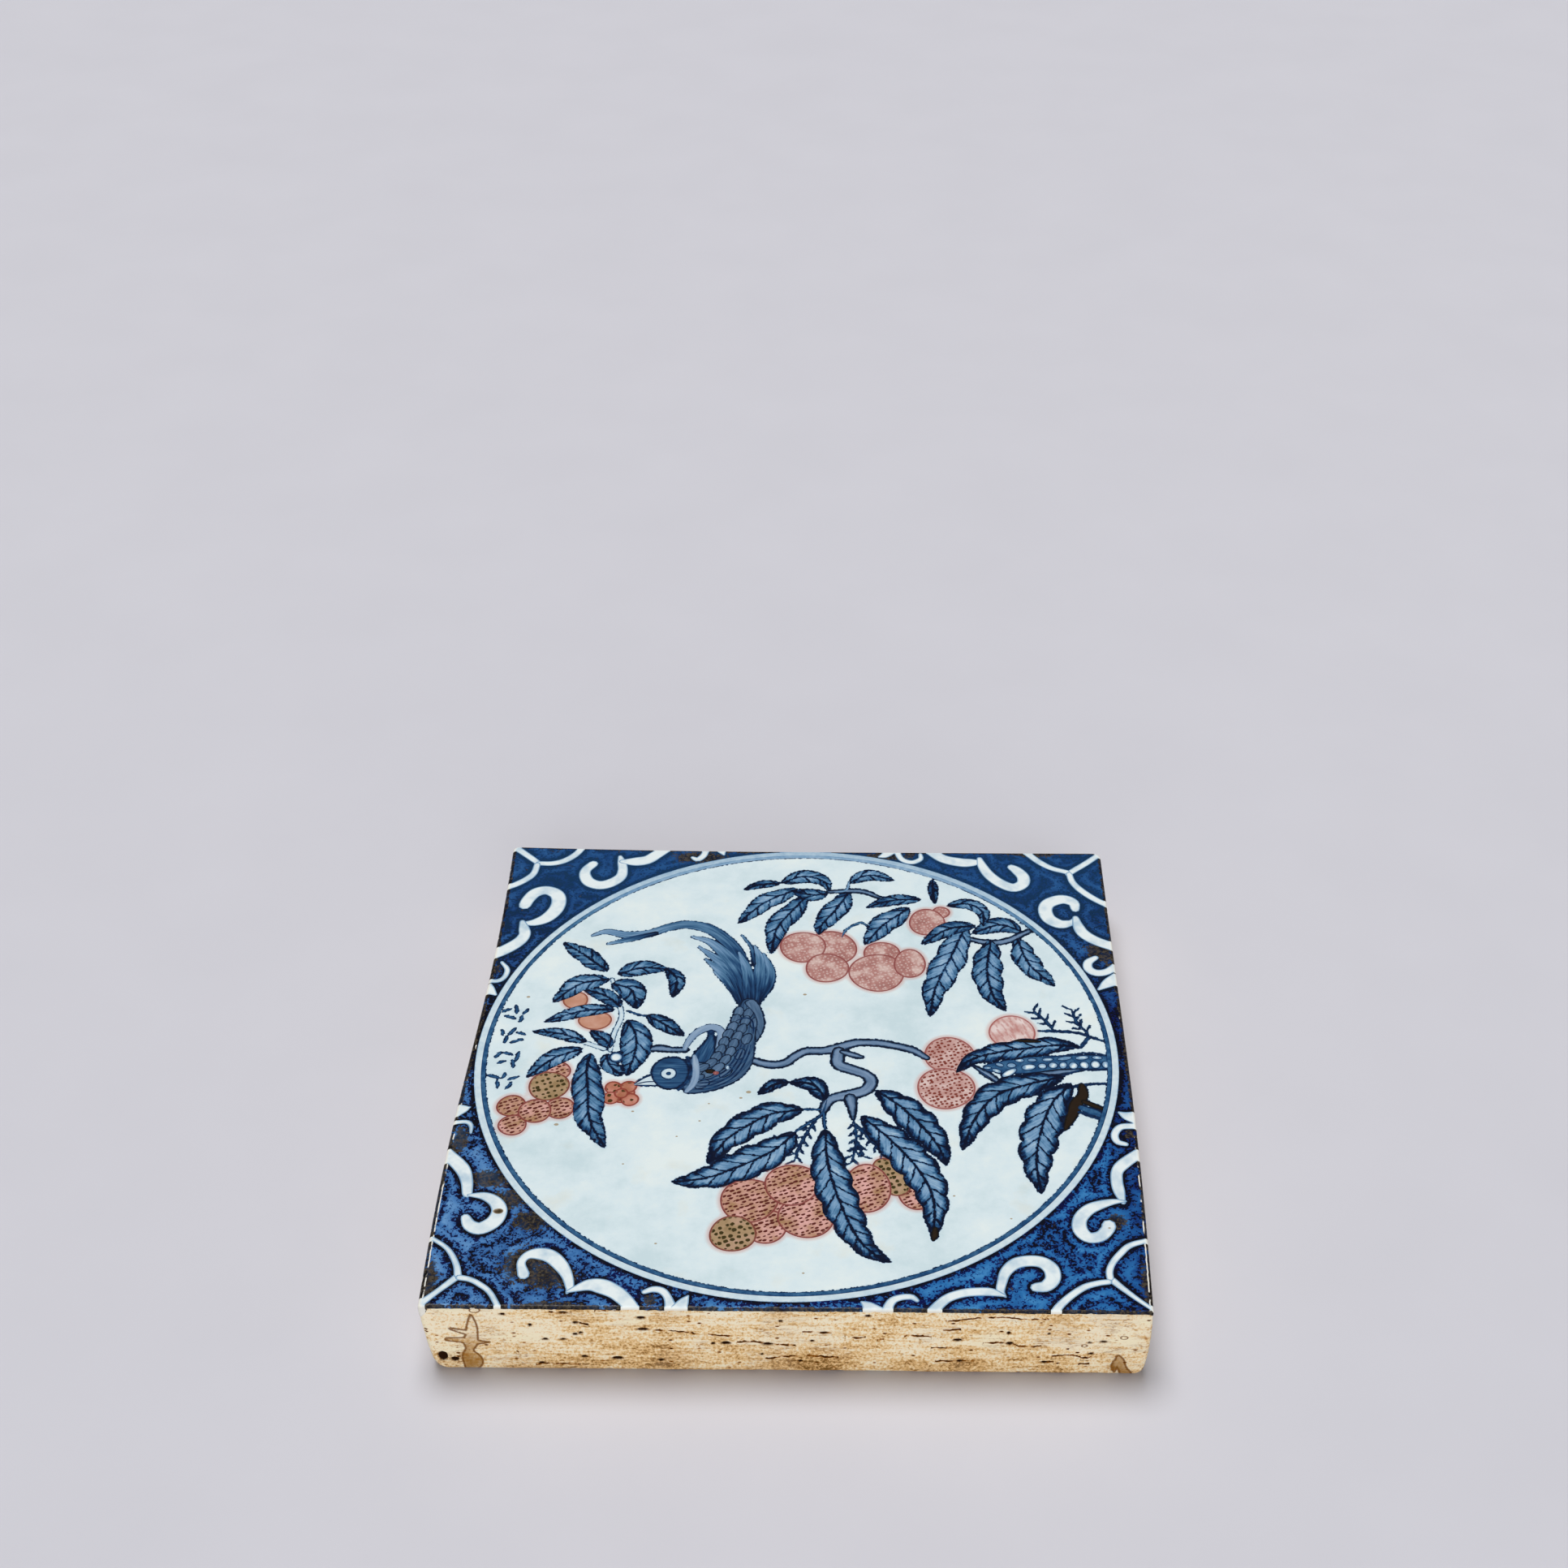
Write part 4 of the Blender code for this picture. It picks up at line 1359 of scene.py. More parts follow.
# %% Pits and cracks on the front side
# each pit: X, height, half width, half height, depth
FRONT_PITS = [
    (-95.6, 5.3, 1.3, 1.8, 1.6), (-92.1, 4.2, 1.1, 0.8, 0.9), (-40, 21.8, 1.1, 0.5, 0.5),
    (-39.6, 17.2, 1.4, 0.42, 0.5), (-17, 11.7, 1.2, 0.5, 0.7), (-20.5, 11.5, 0.5, 0.4, 0.5),
    (-5.5, 11.6, 1.3, 0.5, 0.7), (-1.9, 21, 0.5, 0.4, 0.4), (-47, 5.1, 1.4, 0.6, 0.7),
    (-35, 4.6, 0.8, 0.35, 0.4), (-57.8, 19.7, 0.7, 0.4, 0.4), (-58.2, 14.9, 0.6, 0.45, 0.4),
    (-56.6, 15.5, 0.5, 0.4, 0.4), (-66.5, 12.8, 0.7, 0.35, 0.4), (-61.6, 12.8, 0.7, 0.3, 0.3),
    (-70.3, 18.5, 0.5, 0.5, 0.4), (-77.5, 22.8, 0.7, 0.35, 0.4), (-56.1, 5.7, 0.8, 0.4, 0.5),
    (-61, 23.6, 1.2, 0.35, 0.4), (9.9, 16.3, 0.9, 0.33, 0.4), (6.7, 13, 0.5, 0.35, 0.3),
    (21.9, 23.3, 0.7, 0.33, 0.4), (46.6, 13.8, 1.1, 0.5, 0.6), (47.5, 5.1, 0.8, 0.42, 0.5),
    (61, 12.7, 0.9, 0.5, 0.6), (60.5, 17, 0.5, 0.5, 0.4), (86.8, 13.6, 0.9, 0.35, 0.4),
    (83.6, 8.6, 0.7, 0.33, 0.4), (71.6, 16.8, 0.4, 0.35, 0.3), (70.8, 5, 0.8, 0.4, 0.5),
    (-68, 3, 0.8, 0.4, 0.4), (3.4, 4.6, 0.6, 0.4, 0.4), (-7.2, 7.4, 0.4, 0.35, 0.3),
    (83, 13.2, 0.5, 0.35, 0.3)]
# each crack: X and height along it
FRONT_CRACKS = [
    [(-65, 23.9), (-62, 23.5), (-58.5, 23.4)], [(-52.5, 24.4), (-49, 24.5), (-45, 24.7)],
    [(-37.4, 17), (-31, 16.6), (-27, 16), (-24.5, 15.3), (-21, 15.1), (-15, 14.7)],
    [(-14.5, 12.2), (-11, 12.5), (-8, 12.3), (-6, 11.8)], [(-4.3, 11.6), (-1, 11.2), (2.2, 11.1)],
    [(-70, 2.4), (-66, 2.8), (-57, 2.5)], [(4, 16.6), (9.5, 16.4), (12.5, 16.3)],
    [(13.7, 17.4), (15, 16), (16.2, 14.7)], [(17.5, 14.3), (22, 14.7)], [(24, 13.2), (26.4, 14)],
    [(31.4, 15), (33, 15.7), (36, 15.3), (39.5, 15.1)], [(42, 17.6), (45, 18), (48, 18.2)],
    [(43, 21.4), (47, 22), (52, 22.9), (58, 23.2)], [(58.5, 23.2), (64, 22.6), (72, 22.4)],
    [(53.5, 12.6), (58, 13), (61, 12.7), (63.5, 11.6), (70, 11.5)],
    [(72.4, 7.4), (76, 8), (79, 8.2), (81.5, 6.9), (85, 7.3)], [(40.6, 5), (47, 5), (52.5, 5.6)],
    [(39, 10.4), (43, 10.6), (46, 10.2)], [(70.5, 5), (74, 5.3)], [(80, 4.3), (84, 4.6)],
    [(5, 7), (9, 6.6), (14, 6.4)], [(-8, 5.4), (-2, 6.2), (4, 6.8)], [(-57.3, 19.6), (-54, 18.9)],
    [(-75.3, 8), (-73.8, 7.1)]]

print(len(FRONT_PITS), "pits and", len(FRONT_CRACKS), "cracks on the front side")

# %% Scattered pits and cracks on the other sides
PITS_PER_SIDE = 30
CRACKS_PER_SIDE = 14

pits = [(0, *pit) for pit in FRONT_PITS]
cracks = [(0, *route) for route in FRONT_CRACKS]
scatter = random.Random(26)
for side in (1, 2, 3):
    for _ in range(PITS_PER_SIDE):
        x, z = scatter.uniform(-96, 96), scatter.uniform(2, 24)
        half_wide, half_tall = scatter.uniform(0.4, 1.2), scatter.uniform(0.33, 0.5)
        pits.append((side, x, z, half_wide, half_tall, scatter.uniform(0.3, 0.7)))
    for _ in range(CRACKS_PER_SIDE):
        x, z = scatter.uniform(-95, 80), scatter.uniform(2.5, 23.5)
        reach, rise = scatter.uniform(4, 16), scatter.uniform(-1.2, 1.2)
        middle = x + reach / 2, z + scatter.uniform(-0.5, 0.5)
        cracks.append((side, (x, z), middle, (x + reach, z + rise)))
print(len(pits), "pits and", len(cracks), "cracks in all")

# %% How near each place on the sides is to a pit or a crack
PIT_BRINK = 1.25
PIT_CURVE = 0.7
CRACK_REACH = 1.3


def oval_reach(x, z, half_wide, half_tall):
    """How far places on the sides are from the middle of an oval whose edge is at 1."""
    return np.hypot((lengthwise - x) / half_wide, (heights - z) / half_tall)


pit_edge = np.full(heights.shape, FAR)
sunk = np.zeros(heights.shape)
for side, x, z, half_wide, half_tall, depth in pits:
    reach = np.where(side_of == side, oval_reach(x, z, half_wide, half_tall), FAR)
    pit_edge = np.minimum(pit_edge, (reach - 1) * min(half_wide, half_tall))
    sunk = np.maximum(sunk, depth * np.clip(PIT_BRINK - reach, 0, 1) ** PIT_CURVE)
crack_above = np.full(heights.shape, FAR)
crack_near = np.zeros(heights.shape)
for side, *route in cracks:
    xs, zs = np.array(route).T
    above = heights - np.interp(lengthwise, xs, zs)
    close = (np.abs(above) < CRACK_REACH) & (side_of == side)
    close &= (lengthwise > xs[0]) & (lengthwise < xs[-1])
    taken = close & (np.abs(above) < np.abs(crack_above))
    crack_above = np.where(taken, above, crack_above)
    crack_near = np.where(close, 1.0, crack_near)
print(int((pit_edge < 0).sum()), "points lie in pits")

# %% Water stains and pale patches on the front side
# each stain: X, height and width along it
STAINS = [
    [(-86.1, 22.3, 0.6), (-86.1, 19.5, 2.2), (-86.2, 17, 3), (-86.4, 14.6, 3.2), (-87, 11.5, 4),
     (-87.3, 9.4, 2.8), (-87.6, 8.2, 2.2), (-87.6, 6.2, 4.4), (-87, 3.8, 5.6), (-87.3, 1.9, 4.8),
     (-87.6, 0.6, 3.8)],
    [(-86.5, 15, 2), (-89.4, 15.8, 1.4), (-92.4, 16.8, 0.5)],
    [(-86.5, 11.6, 3.4), (-89.6, 12.2, 1.9), (-93.4, 12.4, 1.2)],
    [(-86, 11.4, 2), (-83.8, 11.4, 1), (-81.8, 11.4, 0.2)],
    [(90.6, 5.6, 1.2), (90.3, 3.6, 1.4), (90.6, 1.6, 0.8)],
    [(91.2, 7.8, 1), (91.7, 6.2, 2.4), (92, 4.6, 2.6), (92.9, 2.4, 2.4), (93.8, 0.5, 3.2)],
]
STAINED_FROM = 78
PALE_FADE = 1.2
# each ring mark: X, height, half width, half height
RING_MARKS = [(-84.9, 24.2, 1.4, 0.85), (81.6, 11.9, 0.8, 0.55), (92.4, 15.4, 1.0, 0.7)]
# each pale patch: side, X, height, half width, half height
# The narrow patch at X -99.5 on the front side is a painted highlight on the front left corner.
PALE_PATCHES_AND_CORNER_HIGHLIGHT = [
    (0, -92, 24.6, 8, 1.4), (0, -92, 7, 7, 7), (0, -99.5, 13, 2.5, 14), (0, -74, 13.5, 10, 4),
    (0, 92, 14, 9, 7), (0, 56, 14, 9, 7), (0, -40, 20, 7, 4), (0, 98, 22, 6, 6),
    (1, -90, 15, 10, 12), (1, 30, 17, 20, 6), (2, -70, 12, 16, 9), (2, 60, 18, 20, 6),
    (3, 40, 14, 16, 8), (3, 92, 15, 9, 14)]

flat_spots = np.column_stack([lengthwise.ravel(), heights.ravel()])
on_front = np.tile(side_of == 0, len(row_heights)) & (np.abs(flat_spots[:, 0]) > STAINED_FROM)
stain = np.full(len(flat_spots), FAR)
for route in STAINS:
    line = smooth_line(route)
    half = np.maximum(line[:, 2], THINNEST) / 2
    outline = stroke_outline(line, half, half)
    spots = flat_spots[on_front]
    way = distances(spots, outline, np.roll(outline, -1, axis=0))
    way = np.where(inside(spots, outline), -way, way)
    stain[on_front] = np.minimum(stain[on_front], way)
stain = stain.reshape(heights.shape)
ring_mark = np.full(heights.shape, FAR)
for x, z, half_wide, half_tall in RING_MARKS:
    way = np.maximum(oval_reach(x, z, half_wide, half_tall) - 1, -1) * half_tall
    ring_mark = np.where(side_of == 0, np.minimum(ring_mark, way), ring_mark)
pale = np.zeros(heights.shape)
for side, x, z, half_wide, half_tall in PALE_PATCHES_AND_CORNER_HIGHLIGHT:
    strength = np.clip(PALE_FADE - oval_reach(x, z, half_wide, half_tall), 0, 1)
    pale = np.where(side_of == side, np.maximum(pale, strength), pale)
print(int((stain < 0).sum()), "points lie inside the water stains")

# %% The relief of the sides
INSET = 0.06
DENT_DEPTH = 0.16
DENT_SIZE = 9.0
BEDDING_DEPTH = 0.09
BEDDING_LENGTH = 14
BEDS_PER_MM = 1.1
GRAIN_DEPTH = 0.04
GRAINS_PER_MM = 0.9
CHIP_DEPTH = 0.5
CHIP_SIZE = 3.2
CHIP_HEIGHT = 1.6
CRACK_DEPTH = 0.2
CRACK_HALF_WIDTH = 0.35
UNDER_GLAZE = 0.25
UNDER_GLAZE_FROM = 1.7
UNDER_GLAZE_FADE = 0.6

relief = np.zeros(heights.shape)
for r in range(heights.shape[0]):
    for c in range(heights.shape[1]):
        spot = Vector(skin[r, c])
        dent = noise.noise(spot / DENT_SIZE)
        bed = (spot.x / BEDDING_LENGTH, spot.y / BEDDING_LENGTH, spot.z * BEDS_PER_MM)
        bedding = noise.noise(Vector(bed))
        grain = noise.noise(spot * GRAINS_PER_MM)
        chip = noise.noise(Vector((spot.x / CHIP_SIZE, spot.y / CHIP_SIZE, 9.0)))
        chip = max(0.0, chip - 0.25) * max(0.0, 1 - spot.z / CHIP_HEIGHT)
        relief[r, c] = (DENT_DEPTH * max(0.0, 0.4 + dent) + BEDDING_DEPTH * (0.5 + bedding)
                        + GRAIN_DEPTH * (0.5 + grain) + CHIP_DEPTH * chip)
relief += sunk
relief += CRACK_DEPTH * crack_near * np.clip(1 - np.abs(crack_above) / CRACK_HALF_WIDTH, 0, 1)
relief += UNDER_GLAZE * np.clip((heights - (top - UNDER_GLAZE_FROM)) / UNDER_GLAZE_FADE, 0, 1)
relief += INSET
body = skin.copy()
body[:, :, :2] -= ways * relief[:, :, None]
print("The relief is", [round(float(v), 2) for v in (relief.min(), relief.max())], "mm deep")

# %% The upright faces of the body
STRIP_HEIGHT = 0.125
STRIP_FILL = 0.96
MAP_MARGIN = 0.01
LID_INSET = 0.4
LID_LAP = 0.05
SOLE_INSET = 0.12

column_count = heights.shape[1]
inner_lid, sole = body[-1].copy(), body[0].copy()
inner_lid[:, :2] -= ways * LID_INSET
inner_lid[:, 2] = top - COAT_THICKNESS + LID_LAP
sole[:, :2] -= ways * SOLE_INSET
sole[:, 2] = 0.0
levels = np.concatenate([sole[None], body, inner_lid[None]])
level_height = levels[:, :, 2].mean(axis=1) / top
places, faces, flat_map = [levels.reshape(-1, 3)], [], []
per_side = column_count // 4
for c in range(column_count):
    n = (c + 1) % column_count
    side = c // per_side
    left, right = [(k % per_side) / per_side for k in (c, c + 1)]
    right = right or 1.0
    for r in range(len(levels) - 1):
        faces.append((r * column_count + c, r * column_count + n,
                      (r + 1) * column_count + n, (r + 1) * column_count + c))
        low, high = (MAP_MARGIN + STRIP_HEIGHT * (side + STRIP_FILL * level_height[k])
                     for k in (r, r + 1))
        flat_map.append([(left, low), (right, low), (right, high), (left, high)])
flat_map = [np.array(flat_map).reshape(-1, 2)]
print(len(faces), "upright faces of clay")

# %% The floor and the lid of the body
FLOOR_GAP = 3.0
FLOOR_HOLLOW = 0.25
HOLLOW_SIZE = 17
FLOOR_ON_MAP = 0.46
FLOOR_SHIFT = (0.5, 0.76)
LID_GAP = 12.0
LID_ON_MAP = 0.02
LID_SHIFT = (0.95, 0.55)

ring_places = np.arange(column_count)
next_place = len(places[0])
cells, spots, corners = cap(levels[0, :, :2], FLOOR_GAP, ring_places, next_place)
hollow = [max(0.0, 0.3 + noise.noise(Vector((x, y, 0)) / HOLLOW_SIZE)) for x, y in cells]
places.append(np.column_stack([cells, [FLOOR_HOLLOW * depth for depth in hollow]]))
faces += corners[:, ::-1].tolist()
flat_map.append(spots[:, ::-1].reshape(-1, 2) / MAP_SPAN * FLOOR_ON_MAP + FLOOR_SHIFT)

next_place += len(cells)
ring_places += (len(levels) - 1) * column_count
cells, spots, corners = cap(levels[-1, :, :2], LID_GAP, ring_places, next_place)
places.append(np.column_stack([cells, np.full(len(cells), levels[-1, 0, 2])]))
faces += corners.tolist()
flat_map.append(spots.reshape(-1, 2) / MAP_SPAN * LID_ON_MAP + LID_SHIFT)

clay_body = make_piece("clay_body", np.vstack(places), faces, np.vstack(flat_map))
print("clay_body has", len(faces), "faces")

# %% The numbers kept at its points


def note_points(piece, name, grid, rest):
    """Keeps one number at each point: a grid of rows and columns, and one value elsewhere."""
    values = np.full(len(piece.data.vertices), rest, np.float32)
    first = grid.shape[1]
    values[first:first + grid.size] = grid.ravel()
    piece.data.attributes.new(name, "FLOAT", "POINT").data.foreach_set("value", values)


for name, grid, rest in (("pit_edge", pit_edge, FAR), ("crack_above", crack_above, FAR),
                         ("crack_near", crack_near, 0.0), ("stain", stain, FAR),
                         ("ring_mark", ring_mark, FAR), ("pale", pale, 0.0)):
    note_points(clay_body, name, grid, rest)
print("Each point of clay keeps", len(clay_body.data.attributes), "attributes")

# %% [markdown]
# ## The painted finishes
# All the paints lie under the same clear glaze: a hard, glossy glass with a faint orange-peel
# ripple. They differ only in colour. Cobalt goes from a pale blue wash to near black as it gets
# thicker, so one list of stops from thin to thick serves every blue thing in the picture, and
# each finish only has to say how thickly the cobalt lies. Over the rim the glaze burned nearly
# matt.

# %% What the painted finishes share
GLAZE_IOR = 1.5
GLOSS_LOW = 0.08
GLOSS_HIGH = 0.17
RIPPLE_SIZE = 2.4
RIPPLE_DEPTH = 0.02
FACE_SHINE = 0.5
RIM_SHINE = 0.05
COBALT = [(0, "#D8E6EA"), (0.14, "#B4CCDB"), (0.3, "#87A8C5"), (0.44, "#6A91B5"),
          (0.57, "#487599"), (0.7, "#1F4B76"), (0.83, "#0B284E"), (1, "#030D27")]
print("Cobalt has", len(COBALT), "stops from thin to thick")

# %% Helpers that the finishes share


def read_marks(tree):
    """The numbers kept at the corners, each as a socket of its own."""
    marks = {}
    for name, parts in (("stroke", ("along", "across", "edge")),
                        ("motif", ("length", "half", "tone")),
                        ("soak", ("to_cobalt", "to_copper", "to_rim"))):
        vector = put(tree, "Attribute", attribute_name=name).outputs["Vector"]
        marks.update(zip(parts, put(tree, "SeparateXYZ", {"Vector": vector}).outputs))
    marks["iron"] = put(tree, "Attribute", attribute_name="iron").outputs["Fac"]
    return marks


def cloud(tree, place, size, detail=3, **inputs):
    """A noise whose blotches are about one size, in millimetres, across."""
    return put(tree, "TexNoise", {"Vector": place, "Scale": 1 / size, "Detail": detail, **inputs})


def remap(tree, value, before, after, smooth=False):
    """Turns one range of a value into another and holds it at both ends."""
    kind = {"interpolation_type": "SMOOTHSTEP"} if smooth else {}
    return put(tree, "MapRange", {"Value": value, "From Min": before[0], "From Max": before[1],
                                  "To Min": after[0], "To Max": after[1]}, **kind)


def add(tree, first, second, times=1):
    """The first value plus the second one times a number."""
    return put(tree, "Math", [second, times, first], operation="MULTIPLY_ADD")


def blend(tree, share, below, above):
    """One colour laid over another with a share from 0 to 1."""
    colours = [paint(c) if isinstance(c, str) else c for c in (below, above)]
    return put(tree, "Mix", {"Factor": share, "A": colours[0], "B": colours[1]}, data_type="RGBA")


def glazed(name, colour_of):
    """A painted finish under clear, glossy glaze. colour_of adds the nodes of its colour."""
    material, tree, place = new_material(name)
    marks = read_marks(tree)
    colour = colour_of(tree, place, marks)
    ripple = cloud(tree, place, RIPPLE_SIZE, 2)
    gloss = remap(tree, ripple, (0.3, 0.7), (GLOSS_LOW, GLOSS_HIGH))
    shine = remap(tree, marks["to_rim"], (0.02, 0.3), (RIM_SHINE, FACE_SHINE))
    bump = put(tree, "Bump", {"Height": ripple, "Distance": RIPPLE_DEPTH * MM})
    surface = put(tree, "BsdfPrincipled", {"Base Color": colour, "Roughness": gloss,
                                           "IOR": GLAZE_IOR, "Specular IOR Level": shine,
                                           "Normal": bump})
    put(tree, "OutputMaterial", {"Surface": surface})
    return material


print("The ripple in the glaze is", RIPPLE_DEPTH, "mm deep")

# %% [markdown]
# ## White porcelain glaze
# Bare glaze is a cool white with faint warm clouds. Cobalt sinks and spreads a little into the
# glaze round it, so a ragged dark rim and a thin blue haze hug every stroke; copper gives the
# fruit a pink haze.

# %% White glaze
CLOUD_SIZE = 26
SMEAR_SIZE = 14
HAZE_REACH = 1.5
BLUSH_REACH = 1.6
GRAIN_SIZE = 0.85


def white_glaze(tree, place, marks):
    """Cool white with the haze that the paint leaves in the glaze round it."""
    mottle = cloud(tree, place, CLOUD_SIZE, 9, Roughness=0.68)
    ground = put(tree, "ValToRGB", {"Fac": mottle},
                 ramp=[(0.36, "#CADDE2"), (0.5, "#D9E8EC"), (0.64, "#E4EEED")])
    smear = remap(tree, cloud(tree, place, SMEAR_SIZE, 5), (0.6, 0.72), (0, 0.3))
    ground = blend(tree, smear, ground, "#DCD8C4")
    grain = cloud(tree, place, GRAIN_SIZE, 2)
    away = add(tree, marks["to_cobalt"], grain, 1.2)
    line = remap(tree, away, (0.74, 0.9), (0.95, 0), smooth=True)
    haze = remap(tree, away, (0.6, HAZE_REACH), (0.2, 0), smooth=True)
    thickness = put(tree, "Math", [line, haze], operation="MAXIMUM")
    blue = put(tree, "ValToRGB", {"Fac": thickness}, ramp=COBALT)
    hazed = blend(tree, remap(tree, thickness, (0, 0.3), (0, 1)), ground, blue)
    blush = remap(tree, marks["to_copper"], (0, BLUSH_REACH), (0.6, 0), smooth=True)
    return blend(tree, blush, hazed, "#CFA096")


finishes = {WHITE: glazed(WHITE, white_glaze)}
print("The cobalt haze reaches", HAZE_REACH, "mm into the white")

# %% [markdown]
# ## Heaped cobalt in the corners
# The corners were filled with a loaded brush that followed the scrolls. The cobalt heaped into
# dark specks of about half a millimetre, thickest beside the scrolls, in bands that echo them,
# and along the rim, where it boiled to brownish black and chipped to white. It is bluer on the
# right side of the tile and greyer on the left and the back.

# %% Corner cobalt
FLOW_SIZE = 15
HEAP_SIZE = 0.82
TORN_SIZE = 2.6
BRUSH_BAND = 2.6
BANK_WIDTH = 2.6
STOPS = (0.2, 0.36, 0.52, 0.68, 0.84, 1)
BRIGHT_COBALT = ("#4A90C6", "#286CAA", "#184F8E", "#0A2F70", "#020E52", "#010418")
COOLER_COBALT = ("#6E98C6", "#4A7AB2", "#2F5990", "#122C62", "#03093A", "#02030F")


def corner_cobalt(tree, place, marks):
    """Uneven heavy cobalt with dark heaps that follow the scrolls."""
    flow = cloud(tree, place, FLOW_SIZE, 5, Roughness=0.62, Distortion=0.6)
    heap = cloud(tree, place, HEAP_SIZE, 2, Roughness=0.6)
    followed = add(tree, marks["edge"], flow, 16)
    band = put(tree, "Math", [followed, BRUSH_BAND], operation="PINGPONG")
    band = remap(tree, band, (0, BRUSH_BAND), (-0.5, 0.5))
    torn = cloud(tree, place, TORN_SIZE, 4, Roughness=0.65)
    near = add(tree, marks["edge"], torn, 2.4)
    bank = remap(tree, near, (0.8, 0.8 + BANK_WIDTH), (1, 0), smooth=True)
    wash = remap(tree, flow, (0.3, 0.7), (0.26, 0.6))
    wash = add(tree, wash, band, 0.2)
    crowd = add(tree, heap, band, 0.16)
    crowd = add(tree, crowd, bank, 0.19)
    crowd = add(tree, crowd, torn, 0.16)
    crowd = add(tree, crowd, flow, 0.3)
    specks = remap(tree, crowd, (0.74, 0.8), (0, 0.46))
    thickness = add(tree, wash, bank, 0.12)
    thickness = add(tree, thickness, specks)
    where = put(tree, "SeparateXYZ", {"Vector": place}).outputs
    leftward = remap(tree, where["X"], (-90, 40), (0.8, 0))
    backward = remap(tree, where["Y"], (-35, 70), (0, 0.6))
    cooler = put(tree, "Math", [leftward, backward], operation="MAXIMUM")
    thickness = add(tree, thickness, backward, 0.4)
    at_right = remap(tree, where["X"], (90, 97), (0, 0.2))
    in_front = remap(tree, where["Y"], (20, 40), (1, 0))
    corner = put(tree, "Math", [at_right, in_front], operation="MULTIPLY")
    thickness = add(tree, thickness, corner)
    blue, grey = (put(tree, "ValToRGB", {"Fac": thickness}, ramp=list(zip(STOPS, codes)))
                  for codes in (BRIGHT_COBALT, COOLER_COBALT))
    cobalt = blend(tree, cooler, blue, grey)
    petrol = remap(tree, where["Y"], (20, 80), (0, 0.45))
    cobalt = blend(tree, petrol, cobalt, "#154B7C")
    return burned_chipped_and_highlit(tree, place, marks, cobalt, heap, torn, where)


print("The heaps of cobalt are", HEAP_SIZE, "mm across")

# %% Burned patches, the chipped rim and a painted highlight on the side edges
RIM_BURN = 0.7
CHIP_SPREAD = 1.9
WEAR_AND_HIGHLIGHT_SPREAD = 5
WEAR_AND_HIGHLIGHT_WAVE = 2
BURNED = [(0.4, "#110F0E"), (0.5, "#2A241E"), (0.62, "#4E463A")]


def burned_chipped_and_highlit(tree, place, marks, cobalt, heap, torn, where):
    """Burned brown patches and rim, white chips over it, and painted highlight dashes on the side
    edges.
    """
    boiled = add(tree, marks["iron"], heap, 1.3)
    boiled = add(tree, boiled, torn, 0.9)
    share = remap(tree, boiled, (1.44, 1.66), (0, 0.88))
    brown = put(tree, "ValToRGB", {"Fac": heap}, ramp=BURNED)
    patched = blend(tree, share, cobalt, brown)
    burn = add(tree, remap(tree, marks["to_rim"], (-0.2, RIM_BURN), (0.3, 0)), torn)
    patched = blend(tree, remap(tree, burn, (0.64, 0.72), (0, 0.92)), patched, brown)
    over_rim = remap(tree, marks["to_rim"], (-0.2, -1.8), (-0.35, 0.06))
    chip = add(tree, over_rim, cloud(tree, place, CHIP_SPREAD, 3))
    patched = blend(tree, remap(tree, chip, (0.5, 0.55), (0, 0.95)), patched, "#E2DED0")
    # Dashes of painted highlight just inside the left and right edges, where the glaze also shows
    # wear.
    inward = add(tree, marks["to_rim"], cloud(tree, place, WEAR_AND_HIGHLIGHT_WAVE), -0.5)
    wear_and_highlight = put(tree, "Math", [inward, -0.2], operation="SUBTRACT")
    wear_and_highlight = put(tree, "Math", [wear_and_highlight], operation="ABSOLUTE")
    wear_and_highlight = remap(tree, wear_and_highlight, (0.1, 0.24), (1, 0))
    at_side = put(tree, "Math", [where["X"]], operation="ABSOLUTE")
    at_side = remap(tree, at_side, (98.2, 98.8), (0, 1))
    by_depth = remap(tree, where["Y"], (-75, 25), (0.08, -0.2))
    wear_and_highlight_spots = add(tree, cloud(tree, place, WEAR_AND_HIGHLIGHT_SPREAD, 4), by_depth)
    wear_and_highlight_spots = remap(tree, wear_and_highlight_spots, (0.5, 0.56), (0, 0.95))
    for part in (at_side, wear_and_highlight_spots):
        wear_and_highlight = put(tree, "Math", [wear_and_highlight, part], operation="MULTIPLY")
    return blend(tree, wear_and_highlight, patched, "#F2EFE6")


finishes[CORNERS] = glazed(CORNERS, corner_cobalt)
print("The rim is burned", RIM_BURN, "mm wide")

# %% [markdown]
# ## Reserved white, pale band and brush lines
# The scrolls are bare glaze with a blue-grey edge where the cobalt crept in. The band round the
# panel is a very thin wash. Brush lines are one stroke of thin cobalt with a stippled edge, and
# the pen lines are cobalt so thick that it is nearly black.

# %% Scrolls, band and lines


def reserved_white(tree, place, marks):
    """Bare glaze whose edges took up a little cobalt, cream over the rim, partly as painted
    highlight.
    """
    crept = remap(tree, marks["edge"], (0, 0.55), (0.36, 0), smooth=True)
    off_rim = remap(tree, marks["to_rim"], (-0.3, 0.5), (0.1, 1))
    crept = put(tree, "Math", [crept, off_rim], operation="MULTIPLY")
    veil = remap(tree, cloud(tree, place, 5), (0.45, 0.75), (0, 0.14))
    thickness = add(tree, crept, veil)
    white = put(tree, "ValToRGB", {"Fac": thickness}, ramp=[(0, "#E6EFF0")] + COBALT[1:])
    # Over the rim the white turns cream: the run's own glaze, brightened as a painted highlight on
    # the front left corner.
    return blend(tree, remap(tree, marks["to_rim"], (0, -0.8), (0, 0.9)), white, "#F3EFE2")


